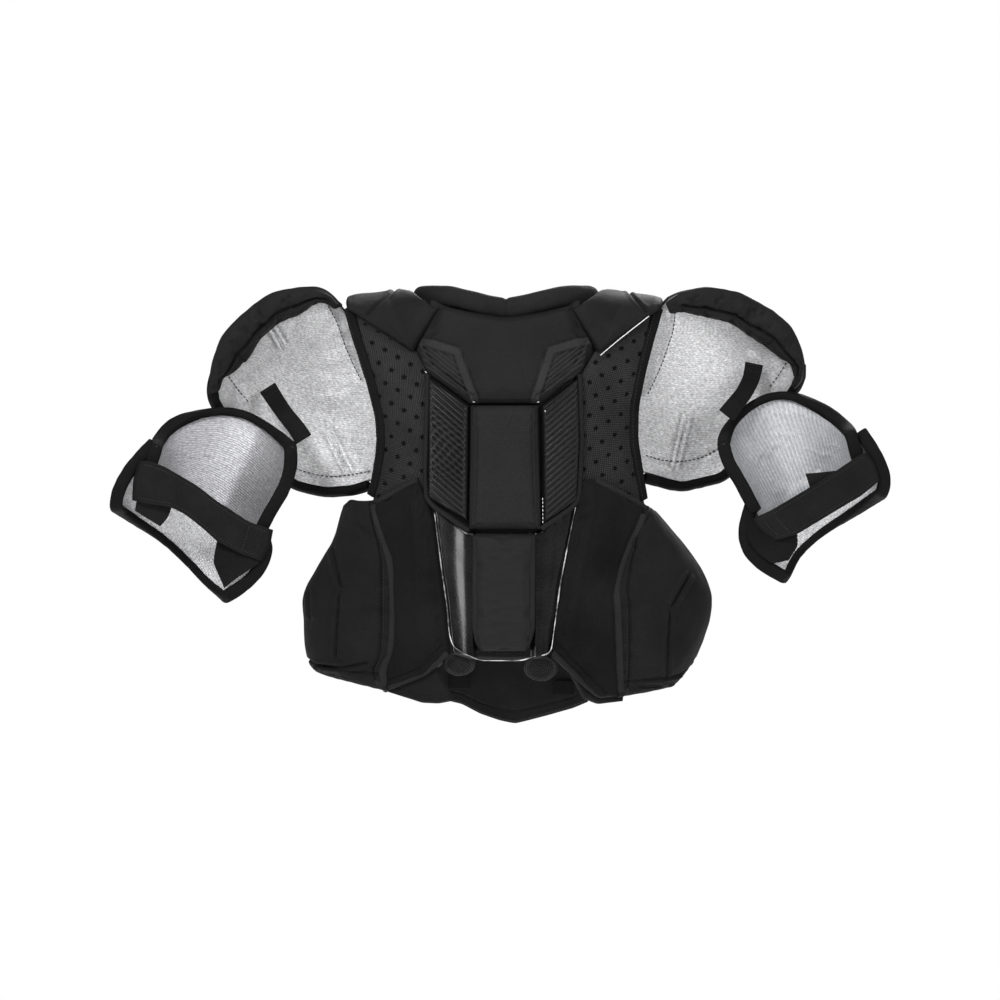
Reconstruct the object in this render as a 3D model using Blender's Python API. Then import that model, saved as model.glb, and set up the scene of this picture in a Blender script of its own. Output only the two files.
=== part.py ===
"""Ice-hockey shoulder pads: a padded vest with a hinged chest, a sliding belly guard, a flexing lower spine plate,
two side wraps, and on each arm a shoulder cap, a biceps shield with an elbow cuff and a wrap-round strap.

Frame: metres, +Z up as worn, +Y the way the wearer faces, +X to the wearer's right, origin at the middle of the
neck-and-shoulder rest. Outlines are typed on a pattern sheet: u runs to the wearer's right, v runs down, one sheet
unit is SHEET metres, the centreline is at u = MIDLINE and the shoulder line at v = DATUM.
"""
import bpy
import bmesh
import math
from mathutils import Vector

# ---------------------------------------------------------------- driving dimensions
SHEET = 0.00112          # metres in one pattern-sheet unit
MIDLINE = 506.0          # sheet u of the wearer's centreline
DATUM = 300.0            # sheet v of the shoulder line, z = 0
HALF_CHEST = 0.165       # half width at which the body's curve is stated
PAD = -0.011             # underside of the outer pads, below the nominal outer surface
BASE_TOP, BASE_LOW = -0.012, -0.0155     # carrier panel
LINER_TOP, LINER_LOW = -0.0165, -0.0195  # lining
SEAM = 0.0006            # clearance pulled in all round each pad
TAPE_R = 0.0038          # radius of the edge binding
PIPING_R = 0.0012        # radius of the thin pale piping
ARM_RIM_Y = -0.080       # the arm shells' open edge
ARM_DEPTH = 0.060        # how deep an arm shell is behind that edge
ARM_LINER = 0.004        # lining of an arm shell
ARM_WALL = 0.012         # lining and plate together
STRAP_T = 0.003          # thickness of webbing
BELLY_TOP, BELLY_LOW = -0.0225, -0.0315  # belly guard, inside the chest
PATCH_W, PATCH_H, PATCH_T = 0.0230, 0.0160, 0.0016

# the back's and the chest's profile on the centreline, and how far they curve round by HALF_CHEST
BACK_PROFILE = [(-0.480, -0.112), (-0.400, -0.114), (-0.300, -0.118), (-0.200, -0.122), (-0.112, -0.118),
                (-0.060, -0.105), (-0.030, -0.094), (0.000, -0.080), (0.030, -0.064)]
CHEST_PROFILE = [(-0.480, 0.105), (-0.400, 0.108), (-0.300, 0.112), (-0.200, 0.112), (-0.112, 0.100),
                 (-0.060, 0.086), (-0.030, 0.076), (0.000, 0.062), (0.030, 0.050)]
ROUND = [(-0.480, 0.072), (-0.300, 0.072), (-0.200, 0.066), (-0.112, 0.050), (-0.060, 0.034), (-0.030, 0.024),
         (0.000, 0.015), (0.030, 0.012)]

# ---------------------------------------------------------------- start clean
for old in list(bpy.data.objects):
    bpy.data.objects.remove(old, do_unlink=True)
for old in list(bpy.data.collections):
    bpy.data.collections.remove(old)
parts = bpy.data.collections.new("hockey_shoulder_pads")
bpy.context.scene.collection.children.link(parts)


def finish(name, colour, roughness, metallic=0.0):
    mat = bpy.data.materials.new(name)
    mat.use_nodes = True
    node = mat.node_tree.nodes["Principled BSDF"]
    node.inputs["Base Color"].default_value = (colour[0], colour[1], colour[2], 1.0)
    node.inputs["Roughness"].default_value = roughness
    node.inputs["Metallic"].default_value = metallic
    return mat


BLACK_CLOTH = (0.016, 0.016, 0.017)
SOFT_BLACK = (0.012, 0.012, 0.013)
MESH_GREY = (0.030, 0.030, 0.031)
GLOSS_BLACK = (0.012, 0.012, 0.013)
SILVER = (0.52, 0.52, 0.53)
WHITE = (0.75, 0.75, 0.74)


# ---------------------------------------------------------------- curves and surfaces
def smooth_row(rows, value):
    """Read a table of (position, height) rows with a smooth curve through them."""
    n = len(rows)
    if value <= rows[0][0]:
        return rows[0][1]
    if value >= rows[-1][0]:
        return rows[-1][1]
    i = 0
    while value > rows[i + 1][0]:
        i += 1
    x0, y0 = rows[i]
    x1, y1 = rows[i + 1]
    s = (y1 - y0) / (x1 - x0)
    m0 = s if i == 0 else 0.5 * (s + (y0 - rows[i - 1][1]) / (x0 - rows[i - 1][0]))
    m1 = s if i == n - 2 else 0.5 * (s + (rows[i + 2][1] - y1) / (rows[i + 2][0] - x1))
    t = (value - x0) / (x1 - x0)
    h = x1 - x0
    return ((2 * t ** 3 - 3 * t ** 2 + 1) * y0 + (t ** 3 - 2 * t ** 2 + t) * h * m0
            + (3 * t ** 2 - 2 * t ** 3) * y1 + (t ** 3 - t ** 2) * h * m1)


def on_sheet(points):
    return [((u - MIDLINE) * SHEET, (DATUM - v) * SHEET) for u, v in points]


def flip(points):
    return [(2 * MIDLINE - u, v) for u, v in points]


def back_y(x, z):
    return smooth_row(BACK_PROFILE, z) + smooth_row(ROUND, z) * (abs(x) / HALF_CHEST) ** 2.3


def chest_y(x, z):
    return smooth_row(CHEST_PROFILE, z) - smooth_row(ROUND, z) * (abs(x) / HALF_CHEST) ** 2.3


def raised(height, side):
    """A surface y = height(x, z) with a distance h along its normal on the given side (-1 is -Y, +1 is +Y)."""
    def place(x, z, h):
        e = 0.002
        yx = (height(x + e, z) - height(x - e, z)) / (2 * e)
        yz = (height(x, z + e) - height(x, z - e)) / (2 * e)
        n = Vector((yx, -1.0, yz)).normalized() * (-side)
        return Vector((x, height(x, z), z)) + n * h
    return place


BACK = raised(back_y, -1)
CHEST = raised(chest_y, 1)


class Line:
    """A polyline read by the fraction of its length."""

    def __init__(self, points):
        self.p = [Vector(q) for q in points]
        self.s = [0.0]
        for a, b in zip(self.p, self.p[1:]):
            self.s.append(self.s[-1] + (b - a).length)
        self.length = self.s[-1]

    def at(self, t):
        if len(self.p) == 1 or self.length == 0.0:
            return self.p[0].copy()
        want = t * self.length
        i = 0
        while i < len(self.p) - 2 and want > self.s[i + 1]:
            i += 1
        a, b = self.p[i], self.p[i + 1]
        return a + (b - a) * ((want - self.s[i]) / (self.s[i + 1] - self.s[i]))


class Patch:
    """A four-sided outline: top and bottom run from the low-u side, the sides run down."""

    def __init__(self, top, right, bottom, left, seam=SEAM):
        self.t, self.b = Line(on_sheet(top)), Line(on_sheet(bottom))
        self.l, self.r = Line(on_sheet(left)), Line(on_sheet(right))
        self.eu = seam / max(0.5 * (self.t.length + self.b.length), 0.004)
        self.ev = seam / max(0.5 * (self.l.length + self.r.length), 0.004)

    def at(self, u, v):
        u = self.eu + (1 - 2 * self.eu) * u
        v = self.ev + (1 - 2 * self.ev) * v
        t, b, l, r = self.t.at(u), self.b.at(u), self.l.at(v), self.r.at(v)
        c00, c10, c01, c11 = self.t.at(0), self.t.at(1), self.b.at(0), self.b.at(1)
        ruled = t * (1 - v) + b * v + l * (1 - u) + r * u
        return ruled - (c00 * (1 - u) * (1 - v) + c10 * u * (1 - v) + c01 * (1 - u) * v + c11 * u * v)


def cuts(n, rim):
    """Parameter values: a narrow strip at each end and n even steps between."""
    return [0.0] + [rim + (1 - 2 * rim) * i / n for i in range(n + 1)] + [1.0]


def even(n):
    return [i / n for i in range(n + 1)]


def solid(name, bm, mat):
    """Turn a closed bmesh into an object with its faces outwards."""
    bmesh.ops.recalc_face_normals(bm, faces=bm.faces[:])
    if bm.calc_volume(signed=True) < 0:
        bmesh.ops.reverse_faces(bm, faces=bm.faces[:])
    me = bpy.data.meshes.new(name)
    bm.to_mesh(me)
    bm.free()
    ob = bpy.data.objects.new(name, me)
    parts.objects.link(ob)
    me.materials.append(mat)
    return ob


def slab(name, us, vs, outer, inner, mat):
    """A closed slab: a grid laid on the inner surface, extruded to the outer one."""
    bm = bmesh.new()
    bmesh.ops.create_grid(bm, x_segments=len(us) - 1, y_segments=len(vs) - 1, size=1.0)
    cols = sorted({round(v.co.x, 5) for v in bm.verts})
    rows = sorted({round(v.co.y, 5) for v in bm.verts})
    where = {}
    for v in bm.verts:
        where[v.index] = (us[cols.index(round(v.co.x, 5))], vs[rows.index(round(v.co.y, 5))])
    spots = {(round(v.co.x, 5), round(v.co.y, 5)): where[v.index] for v in bm.verts}
    got = bmesh.ops.extrude_face_region(bm, geom=bm.faces[:], use_keep_orig=True)
    fresh = {g for g in got["geom"] if isinstance(g, bmesh.types.BMVert)}
    for v in bm.verts:
        u, w = spots[(round(v.co.x, 5), round(v.co.y, 5))]
        v.co = outer(u, w) if v in fresh else inner(u, w)
    return solid(name, bm, mat)


def crown(u, v, p=6):
    return math.sqrt(max(0.0, (1 - abs(2 * u - 1) ** p) * (1 - abs(2 * v - 1) ** p)))


def pad(name, place, patch, low, edge, high, nu, nv, mat, rim=0.07, p=6):
    """A cushion on a raised surface: its rim stands at height edge, its middle at height high."""
    def outer(u, v):
        q = patch.at(u, v)
        return place(q.x, q.y, edge + (high - edge) * crown(u, v, p))

    def inner(u, v):
        q = patch.at(u, v)
        return place(q.x, q.y, low)
    return slab(name, cuts(nu, rim), cuts(nv, rim), outer, inner, mat)


def sheet_of(name, place, patch, low, high, nu, nv, mat):
    """A sheet of even thickness on a raised surface."""
    def outer(u, v):
        q = patch.at(u, v)
        return place(q.x, q.y, high)

    def inner(u, v):
        q = patch.at(u, v)
        return place(q.x, q.y, low)
    return slab(name, even(nu), even(nv), outer, inner, mat)


def tube(name, points, radius, mat, closed=False, sides=2):
    """Round piping along a line of points."""
    cu = bpy.data.curves.new(name, "CURVE")
    cu.dimensions = "3D"
    sp = cu.splines.new("POLY")
    sp.points.add(len(points) - 1)
    for q, p in zip(sp.points, points):
        q.co = (p[0], p[1], p[2], 1.0)
    sp.use_cyclic_u = closed
    cu.bevel_depth = radius
    cu.bevel_resolution = sides
    cu.use_fill_caps = True
    ob = bpy.data.objects.new(name, cu)
    parts.objects.link(ob)
    cu.materials.append(mat)
    return ob


# ---------------------------------------------------------------- vest: the back
BACK_EDGE_L = [(351, 313), (360, 342), (373, 384), (381, 420), (382, 444), (376, 482), (371, 499), (382, 537),
               (390, 561), (390, 641), (388, 668), (387, 688)]
BACK_EDGE_R = [(656, 313), (651, 326), (639, 373), (633, 409), (633, 441), (640, 479), (643, 503), (635, 518),
               (617, 572), (616, 596), (618, 657), (618, 693)]
BACK_TOP = [(351, 313), (400, 330), (443, 312), (471, 315), (507, 320), (541, 315), (567, 312), (608, 330), (656, 313)]
BACK_BOTTOM = [(387, 688), (424, 672), (446, 654), (507, 657), (555, 654), (585, 680), (618, 693)]
back_outline = Patch(BACK_TOP, BACK_EDGE_R, BACK_BOTTOM, BACK_EDGE_L)
sheet_of("back_base_panel", BACK, back_outline, BASE_LOW, BASE_TOP, 12, 12, finish("base_mesh", MESH_GREY, 0.85))
sheet_of("back_liner", BACK, Patch(BACK_TOP, BACK_EDGE_R, BACK_BOTTOM, BACK_EDGE_L, 0.003), LINER_LOW, LINER_TOP,
         12, 12, finish("back_lining", (0.10, 0.10, 0.10), 0.9))

pad("upper_back_pad", BACK,
    Patch([(441, 310), (471, 315), (507, 320), (541, 315), (569, 310)],
          [(569, 310), (594, 346), (581, 371), (541, 402)],
          [(469, 402), (541, 402)],
          [(441, 310), (416, 349), (427, 372), (469, 402)]),
    PAD, -0.003, 0.001, 8, 6, finish("upper_pad_cloth", BLACK_CLOTH, 0.75))
pad("left_ribbed_plate", BACK,
    Patch([(428, 377), (469, 405)], [(469, 405), (467, 521)], [(426, 498), (467, 521)], [(428, 377), (426, 498)]),
    PAD, -0.004, -0.001, 4, 6, finish("left_rib_cloth", BLACK_CLOTH, 0.6))
pad("right_ribbed_plate", BACK,
    Patch([(541, 405), (580, 377)], [(580, 377), (581, 441), (578, 501)], [(543, 524), (578, 501)],
          [(541, 405), (543, 524)]),
    PAD, -0.004, -0.001, 4, 6, finish("right_rib_cloth", BLACK_CLOTH, 0.6))
pad("upper_spine_pad", BACK,
    Patch([(471, 405), (538, 405)], [(538, 405), (541, 529)], [(469, 529), (541, 529)], [(471, 405), (469, 529)]),
    PAD, -0.001, 0.004, 4, 6, finish("spine_cloth", SOFT_BLACK, 0.8))
pad("left_lower_back_pad", BACK,
    Patch([(374, 501), (415, 480)], [(415, 480), (424, 502), (430, 523), (435, 577), (443, 628), (443, 653)],
          [(389, 688), (424, 673), (443, 653)],
          [(374, 501), (384, 537), (393, 561), (393, 641), (390, 668), (389, 688)]),
    PAD, -0.004, 0.001, 5, 8, finish("left_loop_cloth", SOFT_BLACK, 0.95))
pad("right_lower_back_pad", BACK,
    Patch([(583, 482), (597, 480), (641, 503)],
          [(641, 503), (634, 518), (615, 572), (613, 596), (615, 657), (615, 693)],
          [(558, 653), (585, 678), (615, 693)],
          [(583, 482), (577, 518), (567, 583), (560, 623), (558, 653)]),
    PAD, -0.004, 0.001, 5, 8, finish("right_loop_cloth", SOFT_BLACK, 0.95))
KIDNEY_L = ([(390, 692), (424, 677)], [(424, 677), (440, 690), (454, 701)], [(390, 697), (420, 703), (454, 704)],
            [(390, 692), (390, 697)])
pad("left_kidney_pad", BACK, Patch(*KIDNEY_L), -0.014, -0.009, -0.006, 4, 3, finish("left_kidney_cloth", SOFT_BLACK, 0.9))
KIDNEY_R = ([(585, 684), (614, 697)], [(614, 697), (613, 702)], [(560, 703), (597, 704), (613, 702)],
            [(585, 684), (573, 692), (560, 703)])
pad("right_kidney_pad", BACK, Patch(*KIDNEY_R), -0.014, -0.009, -0.006, 4, 3,
    finish("right_kidney_cloth", SOFT_BLACK, 0.9))
TAB_L = ([(448, 660), (472, 663)], [(472, 663), (470, 676)], [(450, 677), (470, 676)], [(448, 660), (450, 677)])
sheet_of("left_spine_tab", BACK, Patch(*TAB_L), -0.0175, -0.0155, 3, 3, finish("left_tab_mesh", MESH_GREY, 0.85))
TAB_R = ([(530, 663), (553, 660)], [(553, 660), (553, 680)], [(532, 677), (553, 680)], [(530, 663), (532, 677)])
sheet_of("right_spine_tab", BACK, Patch(*TAB_R), -0.0175, -0.0155, 3, 3, finish("right_tab_mesh", MESH_GREY, 0.85))

ARMHOLE_L = [(347, 316), (355, 343), (368, 385), (376, 420), (377, 444), (371, 481), (367, 494)]
ARMHOLE_R = [(660, 316), (655, 328), (644, 374), (638, 409), (638, 441), (645, 478), (648, 496)]
for side, edge in (("left", ARMHOLE_L), ("right", ARMHOLE_R)):
    run = Line([BACK(x, z, -0.014) for x, z in on_sheet(edge)])
    tube(side + "_armhole_binding", [run.at(i / 12) for i in range(13)], TAPE_R,
         finish(side + "_armhole_tape", BLACK_CLOTH, 0.7))

# ---------------------------------------------------------------- vest: shoulder yokes, folded over the shoulder
YOKE_FRONT_Z = -0.034
YOKE_T = 0.010
# where each yoke's lower edge lies on the back
YOKE_L_LOW = [(352, 310), (410, 348), (437, 309)]
YOKE_R_LOW = [(654, 310), (601, 348), (573, 309)]


def yoke(name, low_edge, crest_out, crest_in, crest_z_out, crest_z_in, mat):
    """The back edge follows low_edge; each station folds over the shoulder in a half ellipse to the chest side."""
    edge = Line(on_sheet(low_edge))

    def fold(u, w, h):
        q = edge.at(u)
        xc = crest_out + (crest_in - crest_out) * u
        zc = crest_z_out + (crest_z_in - crest_z_out) * u + h
        b = BACK(q.x, q.y, h - 0.001)
        f = CHEST(xc, YOKE_FRONT_Z, h - 0.001)
        a = math.pi * w
        if w <= 0.5:
            k = 1 - math.sin(a)
            return Vector((xc + (b.x - xc) * k, b.y * math.cos(a), b.z + (zc - b.z) * math.sin(a)))
        return Vector((xc + (f.x - xc) * (1 - math.sin(a)), f.y * -math.cos(a), f.z + (zc - f.z) * math.sin(a)))
    return slab(name, even(6), even(12), lambda u, w: fold(u, w, 0.0), lambda u, w: fold(u, w, -YOKE_T), mat)


yoke("left_shoulder_yoke", YOKE_L_LOW, -0.178, -0.104, 0.006, 0.013, finish("left_yoke_cloth", BLACK_CLOTH, 0.7))
yoke("right_shoulder_yoke", YOKE_R_LOW, 0.176, 0.104, 0.004, 0.013, finish("right_yoke_cloth", BLACK_CLOTH, 0.7))

# ---------------------------------------------------------------- vest: neck roll, in two halves sewn at the back
ROLL_PATH = [(0.0006, -0.076, -0.008), (0.020, -0.0755, -0.006), (0.039, -0.072, -0.002), (0.060, -0.061, 0.003),
             (0.076, -0.040, 0.005), (0.084, -0.014, 0.005), (0.085, 0.014, 0.002), (0.079, 0.038, -0.010),
             (0.068, 0.054, -0.024)]


def neck_roll(name, side, mat):
    """An oval section carried round the neck from the middle of the back to the front."""
    run = Line([(side * x, y, z) for x, y, z in ROLL_PATH])
    n, k = 14, 10

    def section(u, w):
        p = run.at(u)
        d = (run.at(min(1.0, u + 0.04)) - run.at(max(0.0, u - 0.04)))
        d.z = 0.0
        d.normalize()
        flat = Vector((d.y, -d.x, 0.0))
        a = 2 * math.pi * w
        return p + flat * (0.0098 * math.cos(a)) + Vector((0, 0, 1)) * (0.0108 * math.sin(a))
    bm = bmesh.new()
    rings = []
    for i in range(n + 1):
        rings.append([bm.verts.new(section(i / n, j / k)) for j in range(k)])
    for a, b in zip(rings, rings[1:]):
        for j in range(k):
            bm.faces.new((a[j], a[(j + 1) % k], b[(j + 1) % k], b[j]))
    bm.faces.new(rings[0])
    bm.faces.new(rings[-1])
    return solid(name, bm, mat)


neck_roll("left_collar_roll", -1, finish("left_collar_cloth", SOFT_BLACK, 0.9))
neck_roll("right_collar_roll", 1, finish("right_collar_cloth", SOFT_BLACK, 0.9))

# ---------------------------------------------------------------- lower spine plate, hinged at its top
plate_outline = Patch([(432, 510), (466, 533), (541, 533), (576, 508)],
                      [(576, 508), (571, 537), (561, 583), (555, 623), (553, 652)],
                      [(450, 653), (507, 655), (553, 652)],
                      [(432, 510), (438, 555), (445, 604), (448, 631), (450, 653)])
sheet_of("lower_spine_plate", BACK, plate_outline, PAD, -0.008, 8, 10, finish("gloss_plate", GLOSS_BLACK, 0.25))
pad("lower_spine_pad", BACK,
    Patch([(472, 535), (536, 535)], [(536, 535), (535, 646)], [(472, 646), (535, 646)], [(472, 535), (472, 646)]),
    -0.0074, -0.001, 0.003, 4, 6, finish("lower_spine_cloth", SOFT_BLACK, 0.8))
piping = Line([BACK(x, z, -0.0053) for x, z in on_sheet(
    [(435, 517), (441, 556), (448, 606), (451, 631), (454, 645), (467, 650), (507, 651.5), (537, 650), (549, 646),
     (552, 622), (558, 582), (568, 536), (573, 517)])])
tube("spine_plate_piping", [piping.at(i / 24) for i in range(25)], PIPING_R, finish("pale_piping", WHITE, 0.6))

# ---------------------------------------------------------------- chest, hinged where it meets the yokes
V_TOP = [(362, 336), (440, 337), (506, 374), (572, 337), (650, 336)]
CHEST_L = [(362, 336), (378, 400), (386, 470), (394, 566)]
chest_outline = (V_TOP, flip(CHEST_L), [(394, 566), (506, 574), (618, 566)], CHEST_L)
sheet_of("chest_base_panel", CHEST, Patch(*chest_outline), BASE_LOW, BASE_TOP, 12, 8, finish("chest_base", MESH_GREY, 0.85))
sheet_of("chest_liner", CHEST, Patch(*chest_outline, seam=0.003), LINER_LOW, LINER_TOP, 12, 8,
         finish("chest_lining", (0.10, 0.10, 0.10), 0.9))
PLATE_TOP = [(364, 338), (428, 338)]
PLATE_IN = [(428, 338), (470, 386), (482, 420), (484, 474)]
PLATE_OUT = [(364, 338), (380, 400), (389, 480)]
PLATE_LOW = [(389, 480), (484, 474)]
pad("left_chest_plate", CHEST, Patch(PLATE_TOP, PLATE_IN, PLATE_LOW, PLATE_OUT), PAD, -0.004, 0.001, 5, 6,
    finish("left_chest_shell", GLOSS_BLACK, 0.35))
pad("right_chest_plate", CHEST, Patch(flip(PLATE_TOP)[::-1], flip(PLATE_OUT), flip(PLATE_LOW)[::-1], flip(PLATE_IN)),
    PAD, -0.004, 0.001, 5, 6, finish("right_chest_shell", GLOSS_BLACK, 0.35))
pad("sternum_plate", CHEST,
    Patch([(487, 404), (525, 404)], [(525, 404), (526, 560)], [(486, 560), (526, 560)], [(487, 404), (486, 560)]),
    PAD, -0.003, 0.003, 3, 7, finish("sternum_cloth", BLACK_CLOTH, 0.7))
LOOP_L = ([(390, 483), (484, 477)], [(484, 477), (484, 562)], [(396, 563), (484, 562)], [(390, 483), (396, 563)])
pad("left_front_loop_panel", CHEST, Patch(*LOOP_L), PAD, -0.007, -0.005, 4, 4, finish("left_front_loop", SOFT_BLACK, 0.95))
pad("right_front_loop_panel", CHEST,
    Patch(flip(LOOP_L[0])[::-1], flip(LOOP_L[3]), flip(LOOP_L[2])[::-1], flip(LOOP_L[1])), PAD, -0.007, -0.005, 4, 4,
    finish("right_front_loop", SOFT_BLACK, 0.95))
VNECK_L = ([(433, 338), (449, 338)], [(449, 338), (474, 358), (505, 378)], [(487, 395), (505, 399)],
           [(433, 338), (470, 380), (487, 395)])
pad("left_front_collar", CHEST, Patch(*VNECK_L), PAD, -0.002, 0.006, 3, 6, finish("left_vneck_cloth", SOFT_BLACK, 0.9),
    rim=0.15)
pad("right_front_collar", CHEST,
    Patch(flip(VNECK_L[0])[::-1], flip(VNECK_L[3]), flip(VNECK_L[2])[::-1], flip(VNECK_L[1])), PAD, -0.002, 0.006, 3, 6,
    finish("right_vneck_cloth", SOFT_BLACK, 0.9), rim=0.15)

# ---------------------------------------------------------------- belly guard, sliding inside the chest
belly_outline = Patch([(404, 528), (506, 534), (608, 528)], [(608, 528), (608, 640), (600, 701)],
                      [(420, 696), (455, 702), (477, 712), (512, 721), (554, 714), (584, 707), (600, 701)],
                      [(404, 528), (404, 640), (420, 696)])
pad("belly_guard_pad", CHEST, belly_outline, BELLY_LOW, BELLY_TOP - 0.002, BELLY_TOP, 10, 8,
    finish("belly_cloth", BLACK_CLOTH, 0.8), rim=0.04)


def belly_patch(name, u, v, mat):
    x, z = (u - MIDLINE) * SHEET, (DATUM - v) * SHEET
    near = [CHEST(x + i * (PATCH_W / 2 + 0.012), z + j * PATCH_H, BELLY_LOW).y for i in (-1, 0, 1) for j in (-1, 0, 1)]
    bm = bmesh.new()
    bmesh.ops.create_cube(bm, size=1.0)
    for vert in bm.verts:
        vert.co = Vector((x + vert.co.x * PATCH_W, min(near) - 0.0009 - PATCH_T / 2 + vert.co.y * PATCH_T,
                          z + vert.co.z * PATCH_H))
    return solid(name, bm, mat)


belly_patch("left_belly_patch", 459.5, 684, finish("left_patch_hook", SOFT_BLACK, 0.95))
belly_patch("right_belly_patch", 563.5, 690, finish("right_patch_hook", SOFT_BLACK, 0.95))

# ---------------------------------------------------------------- side wraps, hinged at their rear edge
WRAP_REAR_L = [(690, 384), (671, 381), (657, 388), (641, 391), (564, 389), (542, 382), (505, 369)]
WRAP_SIL_L = [(690, 330), (675, 314), (663, 309), (620, 305), (593, 305), (572, 316), (537, 336), (510, 343), (498, 347)]
WRAP_REAR_R = [(698, 623), (663, 621), (609, 618), (588, 617), (545, 631), (517, 646), (505, 650)]
WRAP_SIL_R = [(700, 668), (691, 679), (676, 688), (641, 702), (612, 710), (590, 708), (569, 699), (542, 680), (511, 654)]
WRAP_T = 0.010
WRAP_END = math.radians(138)


def wrap_surface(side, rear, sil):
    rear_rows = sorted(((DATUM - v) * SHEET, (u - MIDLINE) * SHEET) for v, u in rear)
    sil_rows = sorted(((DATUM - v) * SHEET, (u - MIDLINE) * SHEET) for v, u in sil)
    top = (498 if side < 0 else 507)

    def spot(u, v):
        a = WRAP_END * u
        high = (DATUM - (top + 6 * abs(u - 0.6))) * SHEET
        low = (DATUM - (689 - 16 * min(1.0, u / 0.6) - 16 * max(0.0, u - 0.6))) * SHEET
        z = high + (low - high) * v
        xi = smooth_row(rear_rows, z) + side * 0.0005
        xs = smooth_row(sil_rows, z)
        yi = back_y(xi, z) - 0.002
        yc = 0.004
        return Vector((xi + (xs - xi) * math.sin(a), yc + (yi - yc) * math.cos(a), z))

    def place(u, v, h):
        e = 0.01
        du = spot(min(1, u + e), v) - spot(max(0, u - e), v)
        dv = spot(u, min(1, v + e)) - spot(u, max(0, v - e))
        n = du.cross(dv).normalized() * (-side)
        return spot(u, v) + n * h
    return place


def wrap(side, word, rear, sil):
    place = wrap_surface(side, rear, sil)
    slab(word + "_side_wrap", cuts(9, 0.03), cuts(6, 0.04),
         lambda u, v: place(u, v, -0.0025 + 0.0025 * crown(u, v)), lambda u, v: place(u, v, -WRAP_T),
         finish(word + "_wrap_cloth", BLACK_CLOTH, 0.8))
    start = place(1.0, 0.5, -0.005)
    heading = (place(1.0, 0.5, -0.005) - place(0.97, 0.5, -0.005)).normalized()
    heading.z = 0.0
    heading.normalize()
    across = Vector((0, 0, 1))
    out = Vector((-heading.y, heading.x, 0)) * 1.0

    def strip(u, v, h):
        return start + heading * (0.0045 + 0.032 * u) + across * (0.019 * (1 - 2 * v)) + out * h
    slab(word + "_wrap_hook_tab", even(3), even(2), lambda u, v: strip(u, v, 0.0012),
         lambda u, v: strip(u, v, -0.0012), finish(word + "_hook_tab", SOFT_BLACK, 0.9))


wrap(-1, "left", WRAP_REAR_L, WRAP_SIL_L)
wrap(1, "right", WRAP_REAR_R, WRAP_SIL_R)


# ---------------------------------------------------------------- shoulder caps, open towards the back
def cap_height(cu, cv, au, av):
    """A bowl, deepest at sheet point (cu, cv)."""
    cx, cz = (cu - MIDLINE) * SHEET, (DATUM - cv) * SHEET

    def y(x, z):
        return 0.025 - 0.070 * (((x - cx) / (au * SHEET)) ** 2 + ((z - cz) / (av * SHEET)) ** 2)
    return y


CAP_L = dict(
    top=[(243, 314), (270, 295), (296, 290), (318, 289), (332, 297)],
    right=[(332, 297), (343, 321), (350, 343), (360, 368), (369, 396), (372, 426), (371, 460), (368, 476)],
    bottom=[(226, 414), (257, 449), (294, 478), (323, 484), (350, 482), (368, 476)],
    left=[(243, 314), (228, 330), (220, 343), (215, 362), (212, 384), (226, 414)])
CAP_R = dict(
    top=[(674, 300), (684, 294), (709, 289), (740, 295), (772, 314)],
    right=[(772, 314), (790, 328), (801, 350), (804, 370), (799, 383), (785, 396)],
    bottom=[(646, 469), (683, 479), (722, 470), (752, 438), (785, 396)],
    left=[(674, 300), (661, 320), (655, 344), (647, 395), (643, 428), (645, 455), (646, 469)])
ROLL_L = dict(
    outer=[(209, 390), (213, 361), (218, 341), (229, 327), (245, 312), (269, 293), (295, 288), (319, 287), (333, 297)],
    inner=[(218, 384), (228, 374), (246, 357), (259, 336), (276, 322), (295, 314), (311, 304), (321, 301), (328, 304)])
ROLL_R = dict(
    outer=[(671, 301), (682, 294), (709, 288), (742, 294), (774, 312), (792, 326), (803, 350), (807, 370), (802, 384)],
    inner=[(676, 308), (684, 308), (709, 313), (732, 318), (752, 333), (773, 348), (789, 359), (796, 366), (797, 378)])


def cap(word, shape, roll, bowl, binding):
    place = raised(cap_height(*bowl), -1)
    outline = Patch(shape["top"], shape["right"], shape["bottom"], shape["left"])
    sheet_of(word + "_cap_liner", place, outline, -0.004, 0.0, 8, 9, finish(word + "_cap_lining", SILVER, 0.6))

    def cover(u, v):
        q = outline.at(u, v)
        return place(q.x, q.y, -0.010 - 0.004 * crown(u, v, 4))

    def under(u, v):
        q = outline.at(u, v)
        return place(q.x, q.y, -0.005)
    slab(word + "_cap_shell", even(8), even(9), cover, under, finish(word + "_cap_cover", BLACK_CLOTH, 0.7))
    o, i = Line(on_sheet(roll["outer"])), Line(on_sheet(roll["inner"]))

    def across(u, v, h):
        q = o.at(u) + (i.at(u) - o.at(u)) * v
        return place(q.x, q.y, h)
    slab(word + "_cap_roll", even(12), [0.0, 0.12, 0.3, 0.5, 0.7, 0.88, 1.0],
         lambda u, v: across(u, v, 0.005 + 0.013 * math.sin(math.pi * v) ** 0.6 * math.sin(math.pi * (0.06 + 0.88 * u)) ** 0.5),
         lambda u, v: across(u, v, 0.0012), finish(word + "_cap_roll_cloth", SOFT_BLACK, 0.85))
    run = Line([place(x, z, -0.005) for x, z in on_sheet(binding)])
    tube(word + "_cap_binding", [run.at(k / 14) for k in range(15)], TAPE_R, finish(word + "_cap_tape", BLACK_CLOTH, 0.7))


CAP_BOWL_L = (300, 430, 125, 150)
CAP_BOWL_R = (722, 430, 125, 150)
cap("left", CAP_L, ROLL_L, CAP_BOWL_L, [(236, 430), (258, 455), (292, 483), (323, 489), (351, 487), (367, 481.5)])
cap("right", CAP_R, ROLL_R, CAP_BOWL_R, [(777, 413), (757, 441), (724, 475), (683, 484), (650, 475.5)])


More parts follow.
